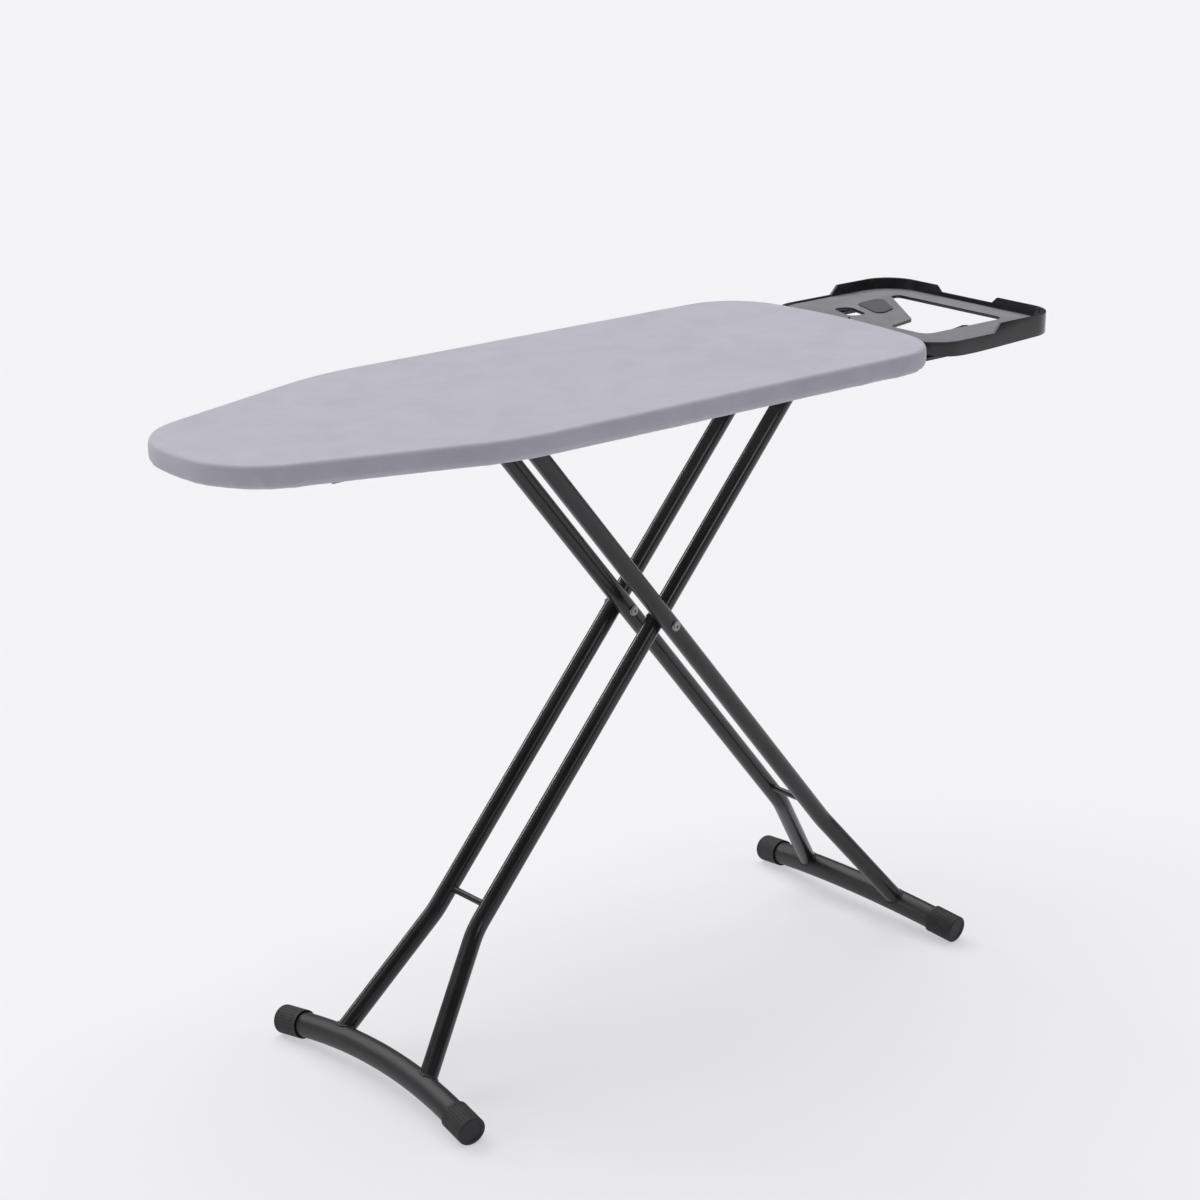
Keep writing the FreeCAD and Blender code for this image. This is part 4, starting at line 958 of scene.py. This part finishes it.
    def _add_folds(self, piece: Piece, levels: int) -> None:
        """Press the separate folds of the side band into the settled cloth."""
        samples = self.outline.sample(self.around)
        lengths = [0.0]
        for i in range(1, self.around):
            lengths.append(lengths[-1] + (samples[i][0] - samples[i - 1][0]).length)
        first, last = self.first_fold_ring, levels - 3
        for fold in self.folds:
            top_at = self._arc_place(samples, lengths, fold.x_top, fold.side)
            low_at = self._arc_place(samples, lengths, fold.x_low, fold.side)
            for level in range(first, last):
                part = (level - first) / (last - first)
                ramp = min(max((part - fold.start) / 0.3, 0.0), 1.0)
                centre = top_at + (low_at - top_at) * part
                for i in range(self.around):
                    away = (lengths[i] - centre) / (fold.width_mm * MM)
                    if abs(away) < 2.5:
                        rise = fold.height_mm * MM * ramp * math.exp(-away * away)
                        vertex = piece.data.vertices[level * self.around + i]
                        vertex.co += samples[i][1] * rise

    @staticmethod
    def _arc_place(samples: list, lengths: list[float], x: float, side: int) -> float:
        """Distance along the outline at one x on one side."""
        best = min(range(len(samples)), key=lambda i: abs(samples[i][0].x - x)
                   + (0 if samples[i][0].y * side > 0 else 9))
        return lengths[best]

    def _soften_top(self, piece: Piece) -> None:
        """Give the stretched top the faint unevenness of cloth over felt."""
        for vertex in piece.data.vertices:
            if vertex.co.z > self.top - 0.5 * MM:
                wide = noise.noise(vertex.co * self.wide_ripple[0])
                narrow = noise.noise(vertex.co * self.narrow_ripple[0] + Vector((4.1, 0.3, 0)))
                rise = self.wide_ripple[1] * wide + self.narrow_ripple[1] * narrow
                vertex.co.z += rise * MM


@dataclass
class HemStitches:
    """Row of lock stitches that closes the drawstring's channel under the deck."""

    outline: DeckOutline
    inset: float = 19.0 * MM
    height: float = 0.77335
    pitch: float = 4.4 * MM
    length: float = 3.0 * MM
    thread: float = 0.28 * MM

    def build(self) -> Piece:
        """Make the stitches.

        Returns:
            All stitches as one piece.
        """
        probe = self.outline.sample(2000)
        around = sum((probe[i][0] - probe[i - 1][0]).length for i in range(len(probe)))
        count = int(around / self.pitch)
        points, faces = [], []
        for point, normal in self.outline.sample(count):
            along = Vector((-normal.y, normal.x, 0))
            middle = point - normal * self.inset
            middle.z = self.height
            self._add_stitch(points, faces, middle, along, normal)
        piece = new_piece("hem_stitches", points, faces)
        smooth(piece, 80)
        dress(piece, Braid(title="hem_thread", pale="#a5a4ad", deep="#85848d").material())
        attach(piece, "deck")
        return piece

    def _add_stitch(self, points: list[Vector], faces: Faces,
                    middle: Vector, along: Vector, across: Vector) -> None:
        """Append one stitch: a low arched capsule of six-sided thread."""
        first = len(points)
        sides, rows = 6, 5
        for row in range(rows):
            part = row / (rows - 1) * 2 - 1
            centre = middle + along * (self.length / 2 * part)
            centre.z += 0.35 * MM * part * part
            radius = self.thread * math.sqrt(max(1 - part * part * 0.9, 0.05))
            for side in range(sides):
                turn = 2 * math.pi * side / sides
                points.append(centre + across * (radius * math.cos(turn))
                              + Vector((0, 0, radius * math.sin(turn))))
        for row in range(rows - 1):
            for side in range(sides):
                a = first + row * sides + side
                b = first + row * sides + (side + 1) % sides
                faces.append((a, b, b + sides, a + sides))
        faces.append(tuple(first + side for side in reversed(range(sides))))
        end = first + (rows - 1) * sides
        faces.append(tuple(end + side for side in range(sides)))


@dataclass
class FoamPad:
    """Felt-faced foam between the steel top and the cover."""

    outline: DeckOutline
    base: float
    around: int = 360
    spacing: float = 0.016
    margin: float = 0.009

    def build(self) -> Piece:
        """Make the pad.

        Returns:
            The pad.
        """
        rows = [(3.0, 0.05), (1.7, 0.7), (1.45, 2.2), (1.6, 3.6), (2.5, 4.9), (4.4, 5.6),
                (8.0, 5.8)]
        rings = inset_rings(self.outline.sample(self.around),
                            [(a, self.base + h * MM) for a, h in rows])
        points = [p for ring in rings for p in ring]
        faces = skin(rings, flip=True)
        for ring, start, turn in ((rings[-1], len(points) - self.around, False),
                                  (rings[0], 0, True)):
            inner, triangles = filled(ring, self.spacing, self.margin)
            first = len(points)
            points += inner
            for face in triangles:
                corners = tuple(i + start if i < self.around else i - self.around + first
                                for i in face)
                faces.append(tuple(reversed(corners)) if turn else corners)
        piece = new_piece("felt_pad", points, faces)
        smooth(piece, 50)
        dress(piece, Felt().material())
        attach(piece, "deck")
        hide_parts("foam_pad")
        return piece


# ---------------------------------------------------------------- iron rest
@dataclass
class IronRest:
    """Moulded rest at the tail: the CAD shape with its mould edges rounded."""

    edge: float = 0.9 * MM
    node: str = "iron_rest"

    def build(self, nodes: dict[str, Piece]) -> Piece:
        """Round the rest's edges and dress it.

        Args:
            nodes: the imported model's nodes.

        Returns:
            The rest's shell.
        """
        piece = nodes[self.node].copy()
        piece.data = nodes[self.node].data.copy()
        piece.name = "iron_rest_shell"
        for key in list(piece.keys()):
            del piece[key]
        piece.parent = None
        bpy.context.scene.collection.objects.link(piece)
        piece.matrix_world = Matrix.Identity(4)
        pick(piece)
        bpy.ops.object.mode_set(mode="EDIT")
        bpy.ops.mesh.select_all(action="SELECT")
        bpy.ops.mesh.remove_doubles(threshold=1e-6)
        bpy.ops.mesh.dissolve_limited(angle_limit=math.radians(0.5))
        bpy.ops.object.mode_set(mode="OBJECT")
        apply_modifier(piece, "BEVEL", width=self.edge, segments=3, limit_method="ANGLE",
                       angle_limit=math.radians(38), use_clamp_overlap=True,
                       miter_outer="MITER_ARC", harden_normals=False)
        smooth(piece, 32)
        dress(piece, RestPlastic().material())
        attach(piece, "deck")
        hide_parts(self.node)
        return piece


# ---------------------------------------------------------------- legs
@dataclass
class Leg:
    """One scissor leg: places for its welds, in the leg's own slanted frame."""

    name: str
    body: str
    degrees: float
    heads_to_nose: bool
    pair_shift: float
    foot_half: float
    crossbar_height: float
    crossing: Vector = field(default_factory=lambda: Vector((0.037, 0, 0.488)))
    tube_radius: float = 0.011
    foot_radius: float = 0.015
    foot_arc: float = 0.800
    foot_reach: float = 0.140
    cap_radius: float = 0.0175
    cap_round: float = 0.0025
    spacing: float = 0.0755
    weld_half: float = 0.083
    bend_height: float = 0.167
    bar_radius: float = 0.004
    foot_bead: float = 1.9 * MM
    bar_bead: float = 1.1 * MM
    foot_look: float = 0.03
    bar_look: float = 0.02
    seam_points: int = 56
    halvings: int = 30

    def frame(self) -> Matrix:
        """The leg's own frame: x runs down the leg, y across, at the crossing."""
        turn = 180 - self.degrees if self.heads_to_nose else self.degrees
        return Matrix.Translation(self.crossing) @ Matrix.Rotation(math.radians(turn), 4, "Y")

    def along(self, height: float) -> float:
        """Distance down the leg from the crossing to this height."""
        return (self.crossing.z - height) / math.sin(math.radians(self.degrees))

    def arch_drop(self, y: float) -> float:
        """How far the foot's axis runs past its middle at this y."""
        slope = math.asin(self.foot_reach / self.foot_arc)
        if abs(y) <= self.foot_reach:
            return self.foot_arc - math.sqrt(self.foot_arc ** 2 - y * y)
        straight = (abs(y) - self.foot_reach) * math.tan(slope)
        return self.foot_arc * (1 - math.cos(slope)) + straight

    def foot_x(self) -> float:
        """Distance down the leg to the middle of its foot's axis."""
        slope = math.asin(self.foot_reach / self.foot_arc)
        dip = math.asin(math.sin(slope) * math.sin(math.radians(self.degrees)))
        lowest = self.cap_radius * math.cos(dip) - self.cap_round * math.sin(dip)
        end_y = self.foot_half - self.cap_radius * math.sin(slope)
        return self.along(lowest) - self.arch_drop(end_y)

    def tube_y(self, side: int) -> float:
        """Centre line of one tube across the leg."""
        return self.pair_shift + side * self.spacing / 2

    def build(self) -> list[Piece]:
        """Make the weld beads of the foot and the crossbar.

        Returns:
            The weld pieces.
        """
        pieces = []
        centre_x = self.foot_x() + self.foot_arc
        for side, tag in ((-1, "right"), (1, "left")):
            y = side * self.weld_half
            weld = Vector((self.foot_x() + self.arch_drop(y), y, 0))
            bend = Vector((self.along(self.bend_height), self.tube_y(side), 0))
            heading = (weld - bend).normalized()

            def from_foot(p: Vector) -> float:
                """Distance from the foot tube's skin."""
                ring = self.foot_arc - math.hypot(p.x - centre_x, p.y)
                return math.hypot(ring, p.z) - self.foot_radius

            path = self._seam(weld, heading, self.tube_radius, from_foot,
                              self.foot_look)
            pieces.append(self._bead(f"{self.name}_foot_weld_{tag}", path,
                                     self.foot_bead))

            bar_x = self.along(self.crossbar_height)
            host_y = self.tube_y(side)
            outward = Vector((0, side, 0))

            def from_tube(p: Vector) -> float:
                """Distance from the leg tube's skin."""
                return math.hypot(p.y - host_y, p.z) - self.tube_radius

            seam = self._seam(Vector((bar_x, host_y, 0)), outward, self.bar_radius,
                              from_tube, self.bar_look)
            pieces.append(self._bead(f"{self.name}_bar_weld_{tag}", seam,
                                     self.bar_bead))
        return pieces

    def _seam(self, end: Vector, heading: Vector, radius: float, gap, reach: float) -> Ring:
        """Closed line where a round bar meets its host.

        Args:
            end: where the bar's axis meets the host's axis.
            heading: the bar's direction towards the host.
            radius: the bar's radius.
            gap: distance of a point from the host's skin.
            reach: how far back along the bar to look.

        Returns:
            Points of the seam in the leg's frame.
        """
        across = heading.cross(Vector((0, 0, 1))).normalized()
        points = []
        for index in range(self.seam_points):
            turn = 2 * math.pi * index / self.seam_points
            start = end + (across * math.cos(turn) + Vector((0, 0, math.sin(turn)))) * radius
            near, far = 0.0, -reach
            for _ in range(self.halvings):
                middle = (near + far) / 2
                if gap(start + heading * middle) > 0:
                    far = middle
                else:
                    near = middle
            points.append(start + heading * far)
        return points

    def _bead(self, name: str, path: Ring, thick: float) -> Piece:
        """Rippled weld bead along a closed line."""
        curve = bpy.data.curves.new(name, "CURVE")
        curve.dimensions = "3D"
        curve.bevel_depth = thick
        curve.bevel_resolution = 2
        spline = curve.splines.new("POLY")
        spline.points.add(len(path) - 1)
        place = self.frame()
        for index, (knot, point) in enumerate(zip(spline.points, path)):
            knot.co = (*(place @ point), 1.0)
            knot.radius = 1.0 + 0.16 * math.sin(index * 2 * math.pi / 4)
        spline.use_cyclic_u = True
        pick(into_scene(name, curve))
        bpy.ops.object.convert(target="MESH")
        piece = bpy.context.object
        apply_modifier(piece, "SUBSURF", levels=1, render_levels=1)
        smooth(piece, 80)
        dress(piece, PowderCoat(title=name + "_coat", roughness=0.42).material())
        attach(piece, self.body)
        return piece


# ---------------------------------------------------------------- carried-over nodes
@dataclass
class NodeFinishes:
    """Materials of the CAD nodes that keep their own shape."""

    skip: tuple[str, ...] = ("cover", "foam_pad", "iron_rest")
    satin: tuple[str, ...] = ("front_foot_tube", "rear_foot_tube")

    def finishes(self) -> dict[str, bpy.types.Material]:
        """One material for each of the record's slots."""
        return {
            Slot.CORD.value: Braid().material(),
            Slot.PLASTIC.value: MouldedPlastic().material(),
            Slot.SILICONE.value: Silicone().material(),
            Slot.CAP.value: Rubber().material(),
            Slot.ZINC.value: BareSteel().material(),
            Slot.RIVET.value: BareSteel(title="bright_rivet_steel", deep="#83837e",
                                        pale="#a3a39d", roughness=0.34).material(),
            Slot.TOP.value: PowderCoat(title="grey_enamelled_top", deep="#a9aaac",
                                       pale="#b7b8ba", roughness=0.4).material(),
            Slot.COAT.value: PowderCoat().material(),
        }

    def apply(self, frame: dict) -> None:
        """Dress every node that stays.
        """
        finishes = self.finishes()
        satin = PowderCoat(title="satin_foot_coat", deep="#18181a", pale="#232326",
                           roughness=0.42).material()
        for part in frame["record"]["subparts"]:
            name, slot = part["node"], part["material_slot"]
            if name not in self.skip:
                dress(frame["nodes"][name], satin if name in self.satin else finishes[slot])
                LOG.info("node %s: %s", name, slot)


# ---------------------------------------------------------------- studio
@dataclass
class Studio:
    """Pale floor, soft light and the camera."""

    eye: tuple[float, float, float] = (-2.0555, -2.3527, 1.5450)
    aim: tuple[float, float, float] = (-0.02885, 0.0, 0.51923)
    lens_mm: float = 83.34
    floor_size: float = 1200.0
    floor_sink: float = 0.0001
    floor_grey: str = "#9e9e9f"
    glow: str = "#f8f8fb"
    glow_strength: float = 0.535
    lights: tuple = (("overhead", (0.05, 0.34, 1.0), 72.0, 2.92),
                     ("nose_side", (-1.0, 0.42, 0.42), 26.0, 0.42),
                     ("tail_side", (0.90, -0.55, 0.45), 26.0, 0.40),
                     ("right_strip", (-0.10, -0.94, 0.40), 9.0, 0.16),
                     ("back_strip", (-0.22, 0.95, 0.38), 11.0, 0.34))

    def build(self) -> None:
        """Add the floor, the lights and the camera."""
        self._floor()
        self._sky()
        for light in self.lights:
            self._soft_light(*light)
        self._camera()

    def _floor(self) -> None:
        """Plain pale floor, far enough out to fill the view."""
        deselect()
        bpy.ops.mesh.primitive_grid_add(x_subdivisions=8, y_subdivisions=8,
                                        size=self.floor_size, location=(0, 0, -self.floor_sink))
        floor = bpy.context.object
        floor.name = "studio_floor"
        settle_transform(floor)
        paint = Surface(bpy.data.materials.new("studio_floor_paint"))
        paint.set({"Base Color": linear(self.floor_grey), "Emission Color": linear(self.glow),
                   "Emission Strength": self.glow_strength, "Roughness": 0.9,
                   "Specular IOR Level": 0.1})
        dress(floor, paint.material)

    @staticmethod
    def _sky() -> None:
        """Even, faintly cool light from everywhere."""
        world = bpy.data.worlds.new("studio_air")
        world.use_nodes = True
        shade = next(n for n in world.node_tree.nodes if n.type == "BACKGROUND")
        shade.inputs["Color"].default_value = linear("#f6f6fa")
        shade.inputs["Strength"].default_value = 0.12
        bpy.context.scene.world = world

    @staticmethod
    def _soft_light(name: str, towards: tuple[float, float, float], spread: float,
                    strength: float) -> None:
        """One broad light from far away, so that the whole floor is lit alike.

        Args:
            name: the light's name.
            towards: direction from the board to the light.
            spread: how many degrees of the air the light fills.
            strength: its irradiance.
        """
        light = bpy.data.lights.new(name, "SUN")
        light.angle = math.radians(spread)
        light.energy = strength
        lamp = into_scene(name, light)
        lamp.rotation_euler = Vector(towards).to_track_quat("Z", "Y").to_euler()

    def _camera(self) -> None:
        """The camera, with no depth of field."""
        camera = bpy.data.cameras.new("camera")
        camera.lens = self.lens_mm
        camera.sensor_width = 36.0
        camera.clip_end = 2000.0
        holder = into_scene("camera", camera)
        holder.location = self.eye
        heading = Vector(self.aim) - Vector(self.eye)
        holder.rotation_euler = heading.to_track_quat("-Z", "Y").to_euler()
        bpy.context.scene.camera = holder
        bpy.context.scene.view_settings.view_transform = "Standard"


def corners(box: tuple) -> list[list[float]]:
    """A box's two corners as plain lists."""
    return [[float(value) for value in corner] for corner in box]


def main() -> None:
    """Build every piece in order."""
    logging.basicConfig(level=logging.INFO, format="%(name)s: %(message)s")
    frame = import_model()
    deselect()
    Studio().build()
    LOG.info("studio ready")
    outline = DeckOutline()
    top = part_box("cover")[1].z
    cover = ClothCover(outline, top).build()
    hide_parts("cover")
    stitches = HemStitches(outline).build()
    LOG.info("cover ready")
    FoamPad(outline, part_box("foam_pad")[0].z).build()
    LOG.info("pad ready")
    IronRest().build(frame["nodes"])
    LOG.info("iron rest ready")
    legs = [Leg("front", "front_leg", 48.94, True, 0.012, 0.186, 0.191),
            Leg("rear", "rear_leg", 50.43, False, -0.012, 0.180, 0.195)]
    for leg in legs:
        for bead in leg.build():
            LOG.info("weld %s", bead.name)
    NodeFinishes().apply(frame)


if __name__ == "__main__":
    main()
